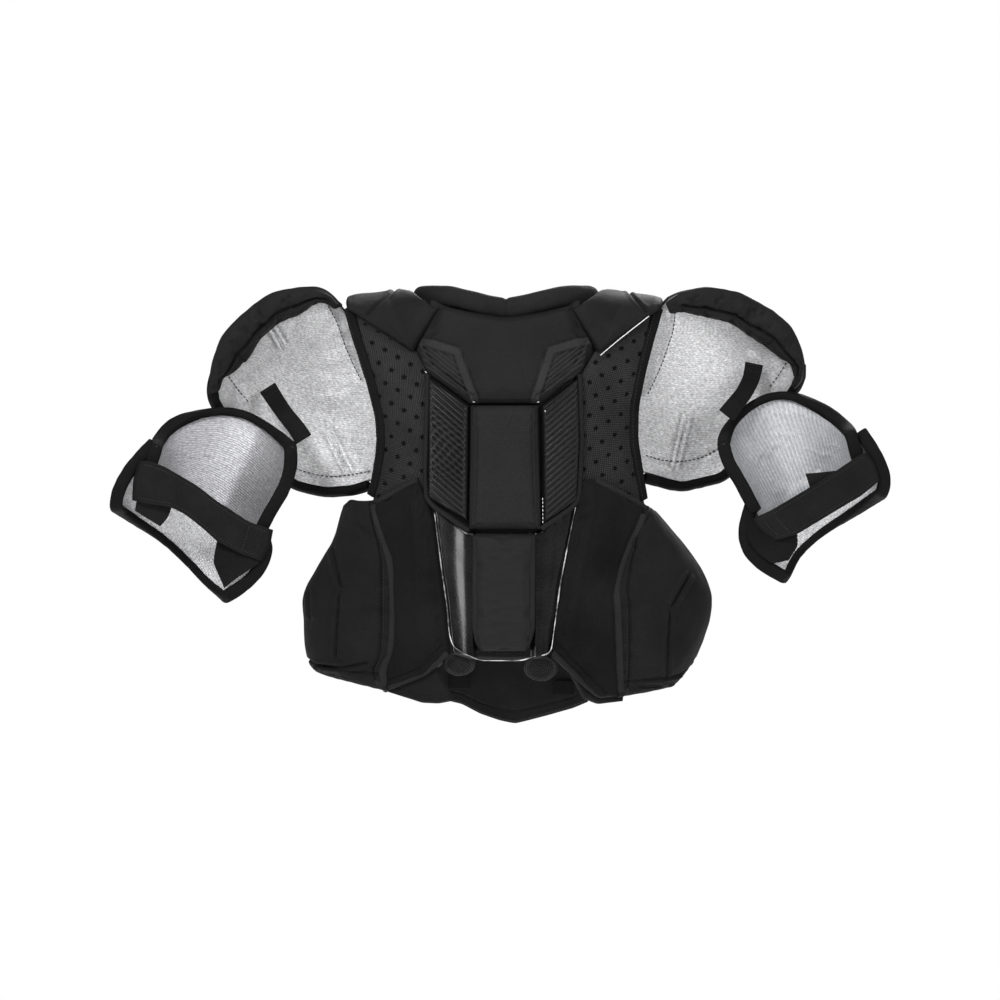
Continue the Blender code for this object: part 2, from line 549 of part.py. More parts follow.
# ---------------------------------------------------------------- biceps shields and elbow cuffs: half tubes round the arm
def arm_surface(shape, rim_y, depth, seam=0.0008):
    """The shape's sides are the shell's open edges; between them it goes round behind the arm."""
    outline = Patch(shape["top"], shape["right"], shape["bottom"], shape["left"], seam)

    def spot(u, v):
        q = outline.at((1 - math.cos(math.pi * u)) / 2, v)
        return Vector((q.x, rim_y + depth * math.sin(math.pi * u), q.y))

    def place(u, v, h):
        e = 0.004
        du = spot(u + e, v) - spot(u - e, v)
        dv = spot(u, min(1, v + e)) - spot(u, max(0, v - e))
        n = du.cross(dv).normalized()
        if n.dot(Vector((math.cos(math.pi * u), -math.sin(math.pi * u), 0.0))) < 0:
            n = -n
        return spot(u, v) + n * h
    return place, spot


SHIELD_L = dict(
    top=[(161, 447), (163, 438), (170, 427), (179, 420), (196, 414), (217, 410), (238, 412), (255, 420), (272, 433), (285, 447)],
    right=[(285, 447), (286, 460), (284, 474), (277, 491), (265, 509), (252, 538)],
    bottom=[(152, 474), (252, 538)],
    left=[(161, 447), (158, 460), (152, 474)])
CUFF_L = dict(
    top=[(141, 480), (250, 547)],
    right=[(250, 547), (252, 560), (246, 572), (236, 583), (221, 590)],
    bottom=[(128, 506), (154, 527), (172, 542), (189, 559), (221, 590)],
    left=[(141, 480), (131, 490), (127, 498), (128, 506)])
SHIELD_R = dict(
    top=[(729, 443), (733, 427), (741, 417), (753, 406), (767, 398), (780, 395), (795, 396), (810, 403), (825, 412), (837, 423), (846, 436)],
    right=[(846, 436), (851, 456), (856, 466)],
    bottom=[(765, 516), (856, 466)],
    left=[(729, 443), (732, 459), (744, 477), (754, 496), (765, 516)])
CUFF_R = dict(
    top=[(764, 527), (864, 472)],
    right=[(864, 472), (874, 480), (873, 491)],
    bottom=[(785, 568), (793, 550), (803, 536), (820, 522), (838, 510), (854, 503), (873, 491)],
    left=[(764, 527), (756, 540), (765, 556), (785, 568)])


def arm(word, side, shield, cuff):
    liner = finish(word + "_biceps_lining", SILVER, 0.6)
    place, spot = arm_surface(shield, ARM_RIM_Y, ARM_DEPTH)
    slab(word + "_biceps_liner", even(12), even(6), lambda u, v: place(u, v, 0.0), lambda u, v: place(u, v, -ARM_LINER), liner)
    slab(word + "_biceps_plate", even(12), even(6), lambda u, v: place(u, v, -ARM_LINER - 0.0008),
         lambda u, v: place(u, v, -ARM_WALL), finish(word + "_biceps_cover", BLACK_CLOTH, 0.7))
    rim = []
    for k in range(5):
        rim.append(place(0, 0.80 - 0.16 * k, -0.006) + Vector((0, -TAPE_R - 0.0016, 0)))
    for k in range(13):
        p = place(k / 12, 0.0, -0.006)
        q = place(k / 12, 0.05, -0.006)
        up = (p - q).normalized()
        rim.append(p + up * (TAPE_R + 0.0012) + Vector((0, -1, 0)) * (0.003 if k in (0, 12) else 0.0))
    for k in range(5):
        rim.append(place(1, 0.16 + 0.16 * k, -0.006) + Vector((0, -TAPE_R - 0.0016, 0)))
    tube(word + "_biceps_binding", rim, TAPE_R, finish(word + "_biceps_tape", BLACK_CLOTH, 0.7))
    cplace, cspot = arm_surface(cuff, ARM_RIM_Y, ARM_DEPTH)
    slab(word + "_cuff_liner", even(12), even(4), lambda u, v: cplace(u, v, 0.0), lambda u, v: cplace(u, v, -ARM_LINER),
         finish(word + "_cuff_lining", SILVER, 0.6))
    slab(word + "_cuff_pad", even(12), even(4), lambda u, v: cplace(u, v, -ARM_LINER - 0.0008),
         lambda u, v: cplace(u, v, -ARM_WALL), finish(word + "_cuff_cover", BLACK_CLOTH, 0.7))


arm("left", -1, SHIELD_L, CUFF_L)
arm("right", 1, SHIELD_R, CUFF_R)

# straps: webbing across the open side, the ends turned back round the shell
STRAP_L = ((268, 544), (136, 479), 0.037)
STRAP_R = ((762, 532), (874, 468), 0.030)
STRAP_Y = ARM_RIM_Y - 0.0125


def strap(name, sewn, loose, width, mat):
    """From the sewn end across to the loose end; both ends turn back alongside the shell."""
    a = Vector(((sewn[0] - MIDLINE) * SHEET, 0, (DATUM - sewn[1]) * SHEET))
    b = Vector(((loose[0] - MIDLINE) * SHEET, 0, (DATUM - loose[1]) * SHEET))
    d = (b - a)
    span = d.length
    d.normalize()
    wide = Vector((-d.z, 0, d.x))
    run = [(0.0, 0.0075), (0.002, 0.0035), (0.006, 0.0008), (0.014, -0.001), (span * 0.33, -0.004),
           (span * 0.5, -0.0046), (span * 0.67, -0.004), (span - 0.014, -0.001), (span - 0.006, 0.0008),
           (span - 0.002, 0.0035), (span, 0.0075)]
    line = Line([(s, y) for s, y in run])

    def at(u, v, h):
        p = line.at(u)
        q = line.at(min(1, u + 0.01)) - line.at(max(0, u - 0.01))
        n = Vector((q.y, -q.x)).normalized()
        s, y = p.x + n.x * h, p.y + n.y * h
        return a + d * s + Vector((0, STRAP_Y + y, 0)) + wide * (width * (v - 0.5))
    us = [s / line.length for s in line.s]
    return slab(name, us, even(2), lambda u, v: at(u, v, STRAP_T / 2), lambda u, v: at(u, v, -STRAP_T / 2), mat)


strap("left_biceps_strap", *STRAP_L, finish("left_strap_web", SOFT_BLACK, 0.75))
strap("right_biceps_strap", *STRAP_R, finish("right_strap_web", SOFT_BLACK, 0.75))

# elastic links from the caps down to the shields
LINK_L = [((266, 387), 0.0020), ((275, 401), -0.0120), ((285, 415), -0.0320), ((296, 428), -0.0500), ((303, 439), -0.0600)]
LINK_R = [((755, 366), -0.0010), ((752, 380), -0.0120), ((742, 394), -0.0320), ((729, 405), -0.0500), ((719, 413), -0.0600)]


def link(name, stations, width, mat):
    run = Line([((u - MIDLINE) * SHEET, y, (DATUM - v) * SHEET) for (u, v), y in stations])

    def at(u, v, h):
        p = run.at(u)
        d = (run.at(min(1, u + 0.05)) - run.at(max(0, u - 0.05))).normalized()
        wide = Vector((-d.z, 0, d.x)).normalized()
        n = d.cross(wide).normalized()
        return p + wide * (width * (v - 0.5)) + n * h
    return slab(name, even(6), even(2), lambda u, v: at(u, v, 0.0011), lambda u, v: at(u, v, -0.0011), mat)


link("left_cap_elastic", LINK_L, 0.020, finish("left_elastic_web", SOFT_BLACK, 0.8))
link("right_cap_elastic", LINK_R, 0.020, finish("right_elastic_web", SOFT_BLACK, 0.8))
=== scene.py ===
import math

import bpy
import numpy as np
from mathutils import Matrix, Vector


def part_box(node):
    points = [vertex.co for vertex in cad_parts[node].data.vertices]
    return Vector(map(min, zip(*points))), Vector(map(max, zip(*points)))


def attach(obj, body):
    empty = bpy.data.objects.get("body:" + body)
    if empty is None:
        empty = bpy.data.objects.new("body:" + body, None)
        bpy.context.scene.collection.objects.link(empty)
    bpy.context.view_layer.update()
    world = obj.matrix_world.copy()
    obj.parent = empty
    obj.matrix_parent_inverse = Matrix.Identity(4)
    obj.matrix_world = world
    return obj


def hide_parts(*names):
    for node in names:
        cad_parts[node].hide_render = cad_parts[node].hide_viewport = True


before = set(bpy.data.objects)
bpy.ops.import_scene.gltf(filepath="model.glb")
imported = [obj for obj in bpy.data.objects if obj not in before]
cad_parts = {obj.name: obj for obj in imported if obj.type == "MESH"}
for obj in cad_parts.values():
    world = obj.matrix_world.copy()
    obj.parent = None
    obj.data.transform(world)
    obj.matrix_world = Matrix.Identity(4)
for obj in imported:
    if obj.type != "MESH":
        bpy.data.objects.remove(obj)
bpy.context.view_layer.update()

# ================================================================= the object's own surfaces, as in the part's source
SHEET, MIDLINE, DATUM, HALF_CHEST = 0.00112, 506.0, 300.0, 0.165
BACK_PROFILE = [(-0.480, -0.112), (-0.400, -0.114), (-0.300, -0.118), (-0.200, -0.122), (-0.112, -0.118),
                (-0.060, -0.105), (-0.030, -0.094), (0.000, -0.080), (0.030, -0.064)]
CHEST_PROFILE = [(-0.480, 0.105), (-0.400, 0.108), (-0.300, 0.112), (-0.200, 0.112), (-0.112, 0.100),
                 (-0.060, 0.086), (-0.030, 0.076), (0.000, 0.062), (0.030, 0.050)]
ROUND = [(-0.480, 0.072), (-0.300, 0.072), (-0.200, 0.066), (-0.112, 0.050), (-0.060, 0.034), (-0.030, 0.024),
         (0.000, 0.015), (0.030, 0.012)]
ARM_RIM_Y, ARM_DEPTH, ARM_WALL = -0.080, 0.060, 0.012


def hermite(rows, value):
    x = np.array([r[0] for r in rows], float)
    y = np.array([r[1] for r in rows], float)
    s = np.diff(y) / np.diff(x)
    m = np.concatenate([[s[0]], 0.5 * (s[1:] + s[:-1]), [s[-1]]])
    v = np.clip(value, x[0], x[-1])
    i = np.clip(np.searchsorted(x, v, side="right") - 1, 0, len(x) - 2)
    h = x[i + 1] - x[i]
    t = (v - x[i]) / h
    return ((2 * t ** 3 - 3 * t ** 2 + 1) * y[i] + (t ** 3 - 2 * t ** 2 + t) * h * m[i]
            + (3 * t ** 2 - 2 * t ** 3) * y[i + 1] + (t ** 3 - t ** 2) * h * m[i + 1])


def back_y(x, z):
    return hermite(BACK_PROFILE, z) + hermite(ROUND, z) * (np.abs(x) / HALF_CHEST) ** 2.3


def chest_y(x, z):
    return hermite(CHEST_PROFILE, z) - hermite(ROUND, z) * (np.abs(x) / HALF_CHEST) ** 2.3


def unit(v):
    return v / np.maximum(np.linalg.norm(v, axis=-1, keepdims=True), 1e-12)


def raised(height, side):
    def place(x, z, h):
        e = 0.002
        yx = (height(x + e, z) - height(x - e, z)) / (2 * e)
        yz = (height(x, z + e) - height(x, z - e)) / (2 * e)
        n = unit(np.stack([yx, -np.ones_like(yx), yz], -1)) * (-side)
        return np.stack([x, height(x, z), z], -1) + n * np.broadcast_to(h, x.shape)[..., None]
    return place


BACK = raised(back_y, -1)
CHEST = raised(chest_y, 1)


def sheet(points):
    p = np.array(points, float)
    return np.stack([(p[:, 0] - MIDLINE) * SHEET, (DATUM - p[:, 1]) * SHEET], -1)


def flip(points):
    return [(2 * MIDLINE - u, v) for u, v in points]


def resample(p, n):
    s = np.concatenate([[0], np.cumsum(np.linalg.norm(np.diff(p, axis=0), axis=1))])
    t = np.linspace(0, s[-1], n)
    return np.stack([np.interp(t, s, p[:, k]) for k in range(p.shape[1])], -1)


def rounded(p, r):
    """A polyline with its corners softened over about r metres, its ends kept."""
    p = np.array(p, float)
    if len(p) < 3 or r <= 0:
        return p
    length = np.linalg.norm(np.diff(p, axis=0), axis=1).sum()
    n = max(24, int(length / 0.0008))
    q = resample(p, n)
    step = length / (n - 1)
    k = max(1, int(round(3 * r / step)))
    w = np.exp(-0.5 * (np.arange(-k, k + 1) * step / r) ** 2)
    w /= w.sum()
    first = 2 * q[0] - q[1:k + 1][::-1] if k < n else np.repeat(q[:1], k, 0)
    last = 2 * q[-1] - q[-k - 1:-1][::-1] if k < n else np.repeat(q[-1:], k, 0)
    if len(first) < k or len(last) < k:
        return q
    big = np.concatenate([first, q, last])
    out = np.stack([np.convolve(big[:, c], w, "valid") for c in range(q.shape[1])], -1)
    out[0], out[-1] = q[0], q[-1]
    return out


class Line:
    def __init__(self, p):
        self.p = np.array(p, float)
        d = np.linalg.norm(np.diff(self.p, axis=0), axis=1)
        self.s = np.concatenate([[0], np.cumsum(d)])
        self.length = self.s[-1]

    def at(self, t):
        t = np.asarray(t, float)
        return np.stack([np.interp(t * self.length, self.s, self.p[:, k]) for k in range(self.p.shape[1])], -1)


class Patch:
    def __init__(self, top, right, bottom, left, r=0.003):
        self.t, self.b = Line(rounded(sheet(top), r)), Line(rounded(sheet(bottom), r))
        self.l, self.r = Line(rounded(sheet(left), r)), Line(rounded(sheet(right), r))

    def at(self, u, v):
        t, b, l, r = self.t.at(u), self.b.at(u), self.l.at(v), self.r.at(v)
        c00, c10, c01, c11 = self.t.at(0), self.t.at(1), self.b.at(0), self.b.at(1)
        u, v = u[..., None], v[..., None]
        return (t * (1 - v) + b * v + l * (1 - u) + r * u
                - (c00 * (1 - u) * (1 - v) + c10 * u * (1 - v) + c01 * (1 - u) * v + c11 * u * v))


def mesh_uv(nu, nv, ease=0.0):
    """Parameter grids; ease crowds them towards the rims."""
    a, b = np.linspace(0, 1, nu), np.linspace(0, 1, nv)
    if ease:
        a = a - ease * np.sin(2 * np.pi * a) / (2 * np.pi)
        b = b - ease * np.sin(2 * np.pi * b) / (2 * np.pi)
    return np.meshgrid(a, b, indexing="ij")


def smooth(a, b, x):
    t = np.clip((x - a) / (b - a), 0, 1)
    return t * t * (3 - 2 * t)


def hash_noise(ix, iy, seed):
    n = (ix * 374761393 + iy * 668265263 + seed * 1442695041) & 0xFFFFFFFF
    n = ((n ^ (n >> 13)) * 1274126177) & 0xFFFFFFFF
    return ((n ^ (n >> 16)) & 0xFFFF) / 65535.0 * 2 - 1


def noise(x, y, scale, seed=0):
    x, y = x / scale, y / scale
    ix, iy = np.floor(x).astype(np.int64), np.floor(y).astype(np.int64)
    fx, fy = x - ix, y - iy
    fx, fy = fx * fx * (3 - 2 * fx), fy * fy * (3 - 2 * fy)
    a, b = hash_noise(ix, iy, seed), hash_noise(ix + 1, iy, seed)
    c, d = hash_noise(ix, iy + 1, seed), hash_noise(ix + 1, iy + 1, seed)
    return (a * (1 - fx) + b * fx) * (1 - fy) + (c * (1 - fx) + d * fx) * fy


def to_path(x, z, path):
    """Distance in metres from points (x, z) to a polyline given in sheet units, and the fraction along it."""
    p = sheet(path)
    best = np.full(x.shape, 1e9)
    frac = np.zeros(x.shape)
    seg = np.linalg.norm(np.diff(p, axis=0), axis=1)
    total = seg.sum()
    run = 0.0
    for a, b, ln in zip(p, p[1:], seg):
        d = b - a
        t = np.clip(((x - a[0]) * d[0] + (z - a[1]) * d[1]) / (ln * ln), 0, 1)
        e = np.hypot(x - a[0] - t * d[0], z - a[1] - t * d[1])
        near = e < best
        best = np.where(near, e, best)
        frac = np.where(near, (run + t * ln) / total, frac)
        run += ln
    return best, frac


def inside(x, z, poly):
    p = sheet(poly)
    hit = np.zeros(x.shape, bool)
    j = len(p) - 1
    for i in range(len(p)):
        xi, zi, xj, zj = p[i, 0], p[i, 1], p[j, 0], p[j, 1]
        cross = ((zi > z) != (zj > z)) & (x < (xj - xi) * (z - zi) / (zj - zi + 1e-15) + xi)
        hit ^= cross
        j = i
    return hit


def groove(d, width, depth):
    """A sewn channel: depth at its middle, gone at width."""
    return -depth * np.exp(-(d / width) ** 2)


# ================================================================= meshes
def new_mesh(name, verts, quads, uvs=None, mats=(), mat_index=None, attrs=None, sharp=55, tris=None):
    me = bpy.data.meshes.new(name)
    nq = len(quads)
    nt = 0 if tris is None else len(tris)
    me.vertices.add(len(verts))
    me.vertices.foreach_set("co", np.asarray(verts, np.float32).ravel())
    loops = np.asarray(quads, np.int32).ravel()
    starts = np.arange(nq, dtype=np.int32) * 4
    totals = np.full(nq, 4, np.int32)
    if nt:
        starts = np.concatenate([starts, nq * 4 + np.arange(nt, dtype=np.int32) * 3])
        totals = np.concatenate([totals, np.full(nt, 3, np.int32)])
        loops = np.concatenate([loops, np.asarray(tris, np.int32).ravel()])
    me.loops.add(len(loops))
    me.loops.foreach_set("vertex_index", loops)
    me.polygons.add(nq + nt)
    me.polygons.foreach_set("loop_start", starts)
    me.polygons.foreach_set("loop_total", totals)
    if mat_index is not None:
        me.polygons.foreach_set("material_index", np.asarray(mat_index, np.int32))
    me.update(calc_edges=True)
    if uvs is not None:
        layer = me.uv_layers.new(name="UVMap")
        layer.data.foreach_set("uv", np.asarray(uvs, np.float32)[loops].ravel())
    for key, values in (attrs or {}).items():
        a = me.attributes.new(key, "FLOAT", "POINT")
        a.data.foreach_set("value", np.asarray(values, np.float32).ravel())
    me.validate()
    me.shade_smooth()
    me.set_sharp_from_angle(angle=math.radians(sharp))
    for m in mats:
        me.materials.append(m)
    ob = bpy.data.objects.new(name, me)
    bpy.context.scene.collection.objects.link(ob)
    return ob


def signed_volume(v, q):
    a, b, c, d = v[q[:, 0]], v[q[:, 1]], v[q[:, 2]], v[q[:, 3]]
    return (np.einsum("ij,ij->i", a, np.cross(b, c)) + np.einsum("ij,ij->i", a, np.cross(c, d))).sum()


def rim_index(nu, nv):
    i = [(k, 0) for k in range(nu)] + [(nu - 1, k) for k in range(1, nv)]
    i += [(k, nv - 1) for k in range(nu - 2, -1, -1)] + [(0, k) for k in range(nv - 2, 0, -1)]
    return np.array(i)


def slab(name, body, mat, outer, inner, mat_in=None, bulge=0.0, rings=3, attrs=None, replaces=(), slot=None, fill=None,
         sharp=55):
    """A closed piece between an outer and an inner grid of points, its wall rounded over."""
    nu, nv = outer.shape[:2]
    n = nu * nv
    idx = np.arange(n).reshape(nu, nv)
    q = np.stack([idx[:-1, :-1], idx[1:, :-1], idx[1:, 1:], idx[:-1, 1:]], -1).reshape(-1, 4)
    rim = rim_index(nu, nv)
    ro = idx[rim[:, 0], rim[:, 1]]
    po, pi = outer[rim[:, 0], rim[:, 1]], inner[rim[:, 0], rim[:, 1]]
    near = np.clip(rim, 1, None)
    near = np.stack([np.clip(rim[:, 0], 1, nu - 2), np.clip(rim[:, 1], 1, nv - 2)], -1)
    away = unit(po - outer[near[:, 0], near[:, 1]])
    verts = [outer.reshape(-1, 3), inner.reshape(-1, 3)]
    du = np.concatenate([np.zeros((1, nv)), np.cumsum(np.linalg.norm(np.diff(outer, axis=0), axis=2), 0)])
    dv = np.concatenate([np.zeros((nu, 1)), np.cumsum(np.linalg.norm(np.diff(outer, axis=1), axis=2), 1)], 1)
    mu, mv = du[:, nv // 2][:, None] * np.ones((1, nv)), dv[nu // 2][None, :] * np.ones((nu, 1))
    uv = np.stack([mu, mv], -1).reshape(-1, 2)
    uvs = [uv, uv]
    walls = []
    prev = ro
    count = 2 * n
    m = len(rim)
    for k in range(1, rings + 1):
        t = k / (rings + 1)
        verts.append(po * (1 - t) + pi * t + away * (bulge * math.sin(math.pi * t)))
        uvs.append(uv[ro] + np.array([0.0, 0.003 * k]))
        cur = np.arange(count, count + m)
        count += m
        walls.append(np.stack([prev, cur, np.roll(cur, -1), np.roll(prev, -1)], -1))
        prev = cur
    last = ro + n
    walls.append(np.stack([prev, last, np.roll(last, -1), np.roll(prev, -1)], -1))
    walls = np.concatenate(walls)
    quads = np.concatenate([q[:, ::-1], q + n, walls])
    verts = np.concatenate(verts)
    if signed_volume(verts, quads) < 0:
        quads = quads[:, ::-1]
    mats = [mat]
    mi = np.zeros(len(quads), np.int32)
    if mat_in is not None:
        mats.append(mat_in)
        mi[len(q):2 * len(q)] = 1
    full = {}
    for key, val in (attrs or {}).items():
        a = np.zeros(len(verts))
        a[:n] = np.asarray(val).ravel()
        a[2 * n:] = np.tile(np.asarray(val)[rim[:, 0], rim[:, 1]], rings) if rings else []
        full[key] = a
    ob = new_mesh(name, verts, quads, np.concatenate(uvs), mats, mi, full, sharp)
    return settle(ob, body, replaces, slot, fill)


def settle(ob, body, replaces=(), slot=None, fill=None):
    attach(ob, body)
    if replaces:
        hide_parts(*([replaces] if isinstance(replaces, str) else replaces))
    return ob


def sweep(name, body, mat, path, wide, a, b, k=14, power=2.6, replaces=(), slot=None, closed=False, n=None, wob=0.0,
          seed=0, fill=None):
    """A flattened tube along path (n,3); wide (n,3) points across it, a is its half width, b its half thickness."""
    path, wide = np.asarray(path, float), np.asarray(wide, float)
    if n:
        s = np.concatenate([[0], np.cumsum(np.linalg.norm(np.diff(path, axis=0), axis=1))])
        t = np.linspace(0, s[-1], n)
        path = np.stack([np.interp(t, s, path[:, c]) for c in range(3)], -1)
        wide = np.stack([np.interp(t, s, wide[:, c]) for c in range(3)], -1)
        if np.ndim(a):
            a = np.interp(t, s, a)
        if np.ndim(b):
            b = np.interp(t, s, b)
    m = len(path)
    tan = np.gradient(path, axis=0)
    if closed:
        tan = np.roll(path, -1, 0) - np.roll(path, 1, 0)
    tan = unit(tan)
    wide = unit(wide - tan * (wide * tan).sum(-1, keepdims=True))
    thick = unit(np.cross(tan, wide))
    a, b = np.broadcast_to(a, m), np.broadcast_to(b, m)
    th = np.linspace(0, 2 * np.pi, k, endpoint=False)
    c, s_ = np.cos(th), np.sin(th)
    cc = np.sign(c) * np.abs(c) ** (2 / power)
    ss = np.sign(s_) * np.abs(s_) ** (2 / power)
    run = np.concatenate([[0], np.cumsum(np.linalg.norm(np.diff(path, axis=0), axis=1))])
    f = 1.0
    if wob:
        f = 1 + wob * noise(run[:, None] + 0 * th[None], 0.02 * np.cos(th)[None] + 0 * run[:, None], 0.007, seed)
        f = f[..., None]
    v = path[:, None] + (wide[:, None] * (a[:, None] * cc)[..., None] + thick[:, None] * (b[:, None] * ss)[..., None]) * f
    idx = np.arange(m * k).reshape(m, k)
    nxt = np.roll(idx, -1, 1)
    q = np.stack([idx[:-1], idx[1:], nxt[1:], nxt[:-1]], -1).reshape(-1, 4)
    verts = v.reshape(-1, 3)
    uv = np.stack([run[:, None] + 0 * th[None], (th / (2 * np.pi))[None] * 2 * (a.mean() + b.mean()) + 0 * run[:, None]], -1).reshape(-1, 2)
    tris = None
    if closed:
        q = np.concatenate([q, np.stack([idx[-1], idx[0], nxt[0], nxt[-1]], -1)])
    else:
        ends = np.stack([path[0] - tan[0] * min(a[0], b[0]) * 0.5, path[-1] + tan[-1] * min(a[-1], b[-1]) * 0.5])
        verts = np.concatenate([verts, ends])
        uv = np.concatenate([uv, [[0, 0], [run[-1], 0]]])
        e0, e1 = m * k, m * k + 1
        tris = np.concatenate([np.stack([idx[0], nxt[0], np.full(k, e0)], -1), np.stack([nxt[-1], idx[-1], np.full(k, e1)], -1)])
    if signed_volume(verts, q) < 0:
        q = q[:, ::-1]
        if tris is not None:
            tris = tris[:, ::-1]
    ob = new_mesh(name, verts, q, uv, [mat], None, None, 60, tris)
    return settle(ob, body, replaces, slot, fill)


def stitches(name, body, mat, lines, pitch=0.0042, length=0.0027, r=0.00045, lift=0.0002):
    """Rows of thread: each line is (points, normals)."""
    vs, qs, count = [], [], 0
    k = 6
    th = np.linspace(0, 2 * np.pi, k, endpoint=False)
    for path, normal in lines:
        path, normal = np.asarray(path, float), np.asarray(normal, float)
        s = np.concatenate([[0], np.cumsum(np.linalg.norm(np.diff(path, axis=0), axis=1))])
        total = s[-1]
        num = int(total / pitch)
        for i in range(num):
            mid = (i + 0.5) * total / num
            t = mid + np.array([-0.5, -0.3, 0.0, 0.3, 0.5]) * length
            p = np.stack([np.interp(t, s, path[:, c]) for c in range(3)], -1)
            nn = unit(np.stack([np.interp(t, s, normal[:, c]) for c in range(3)], -1))
            d = unit(p[-1] - p[0])
            side = unit(np.cross(nn, d))
            hgt = np.array([-0.4, 0.45, 0.8, 0.45, -0.4])[:, None] * r + lift
            rad = np.array([0.35, 0.9, 1.0, 0.9, 0.35])[:, None, None] * r
            ring = (p + nn * hgt)[:, None] + (side[:, None] * np.cos(th)[None, :, None] + nn[:, None] * np.sin(th)[None, :, None]) * rad
            idx = np.arange(count, count + 5 * k).reshape(5, k)
            nxt = np.roll(idx, -1, 1)
            qs.append(np.stack([idx[:-1], nxt[:-1], nxt[1:], idx[1:]], -1).reshape(-1, 4))
            # close the ends with two quads each
            for row, rev in ((idx[0], True), (idx[-1], False)):
                two = np.array([[row[0], row[1], row[2], row[3]], [row[0], row[3], row[4], row[5]]])
                qs.append(two[:, ::-1] if rev else two)
            vs.append(ring.reshape(-1, 3))
            count += 5 * k
    verts, quads = np.concatenate(vs), np.concatenate(qs)
    if signed_volume(verts, quads) < 0:
        quads = quads[:, ::-1]
    ob = new_mesh(name, verts, quads, verts[:, [0, 2]], [mat], None, None, 80)
    return settle(ob, body)


def track(place, points, h, n=60, r=0.004, open_=True):
    """Points and normals along a sheet path on a surface."""
    p = resample(rounded(sheet(points), r), n)
    a = place(p[:, 0], p[:, 1], h)
    b = place(p[:, 0], p[:, 1], h + 0.001)
    return a, unit(b - a)


def onto(grid, path, normal, lift):
    """Moves a run of points so that it lies on a finished face, the grid of points nearest to it in x and z."""
    flat = grid.reshape(-1, 3)
    out = []
    for p, n in zip(path, normal):
        d = (flat[:, 0] - p[0]) ** 2 + (flat[:, 2] - p[2]) ** 2
        near = np.argpartition(d, 4)[:4]
        w = 1 / (d[near] + 1e-9)
        y = (flat[near, 1] * w).sum() / w.sum()
        out.append([p[0], y, p[2]] + n * lift)
    return np.array(out)


def across_of(path, normal):
    return unit(np.cross(unit(np.gradient(path, axis=0)), normal))


# ================================================================= cloth: the cover of a pad filled out by simulation
def cubic_rows(nc, nf):
    t = np.linspace(0, nc - 1, nf)
    i = np.clip(np.floor(t).astype(int), 0, nc - 2)
    f = t - i
    w = np.zeros((nf, nc))
    k = np.arange(nf)
    ws = [-0.5 * f ** 3 + f ** 2 - 0.5 * f, 1.5 * f ** 3 - 2.5 * f ** 2 + 1, -1.5 * f ** 3 + 2 * f ** 2 + 0.5 * f,
          0.5 * f ** 3 - 0.5 * f ** 2]
    for o, ww in zip((-1, 0, 1, 2), ws):
        np.add.at(w, (k, np.clip(i + o, 0, nc - 1)), ww)
    return w


def grow_to(d, nu, nv):
    a, b = cubic_rows(d.shape[0], nu), cubic_rows(d.shape[1], nv)
    return np.einsum("ij,jkc,lk->ilc", a, d, b)


def billow(outer, inner, pressure=3.0, grow=0.03, frames=18, limit=0.008, stiff=12.0, bend=0.4, mass=0.25):
    """How far the cover moves when the filling presses it out and the cloth is cut a little too big: the inner face
    and the sewn rim stay where they are."""
    nu, nv = outer.shape[:2]
    n = nu * nv
    idx = np.arange(n).reshape(nu, nv)
    q = np.stack([idx[:-1, :-1], idx[1:, :-1], idx[1:, 1:], idx[:-1, 1:]], -1).reshape(-1, 4)
    rim = rim_index(nu, nv)
    ro = idx[rim[:, 0], rim[:, 1]]
    w = np.stack([ro, ro + n, np.roll(ro + n, -1), np.roll(ro, -1)], -1)
    quads = np.concatenate([q[:, ::-1], q + n, w])
    verts = np.concatenate([outer.reshape(-1, 3), inner.reshape(-1, 3)])
    if signed_volume(verts, quads) < 0:
        quads = quads[:, ::-1]
    scale = 10.0
    me = bpy.data.meshes.new("cloth_work")
    me.from_pydata((verts * scale).tolist(), [], quads.tolist())
    ob = bpy.data.objects.new("cloth_work", me)
    bpy.context.scene.collection.objects.link(ob)
    vg = ob.vertex_groups.new(name="pin")
    vg.add(list(range(n, 2 * n)) + [int(i) for i in ro], 1.0, "REPLACE")
    cm = ob.modifiers.new("cloth", "CLOTH")
    st = cm.settings
    st.quality = 4
    st.mass = mass
    st.tension_stiffness = stiff
    st.compression_stiffness = stiff
    st.shear_stiffness = stiff * 0.4
    st.bending_stiffness = bend
    st.vertex_group_mass = "pin"
    st.pin_stiffness = 1.0
    st.use_pressure = True
    st.uniform_pressure_force = pressure
    st.shrink_min = -grow
    st.effector_weights.gravity = 0.0
    cm.collision_settings.use_collision = False
    cm.collision_settings.use_self_collision = False
    cm.point_cache.frame_start = 1
    cm.point_cache.frame_end = frames + 1
    sc = bpy.context.scene
    for f in range(1, frames + 1):
        sc.frame_set(f)
    dg = bpy.context.evaluated_depsgraph_get()
    got = ob.evaluated_get(dg).data
    co = np.zeros(len(got.vertices) * 3, np.float32)
    got.vertices.foreach_get("co", co)
    co = co.reshape(-1, 3).astype(float) / scale
    bpy.data.objects.remove(ob, do_unlink=True)
    bpy.data.meshes.remove(me)
    sc.frame_set(1)
    d = co[:n].reshape(nu, nv, 3) - outer
    size = np.linalg.norm(d, axis=-1, keepdims=True)
    d = d * np.minimum(1, limit / np.maximum(size, 1e-9))
    return np.nan_to_num(d)


# ================================================================= materials
def lin(c):
    return tuple(((x / 255) / 12.92 if x / 255 <= 0.04045 else ((x / 255 + 0.055) / 1.055) ** 2.4) for x in c)


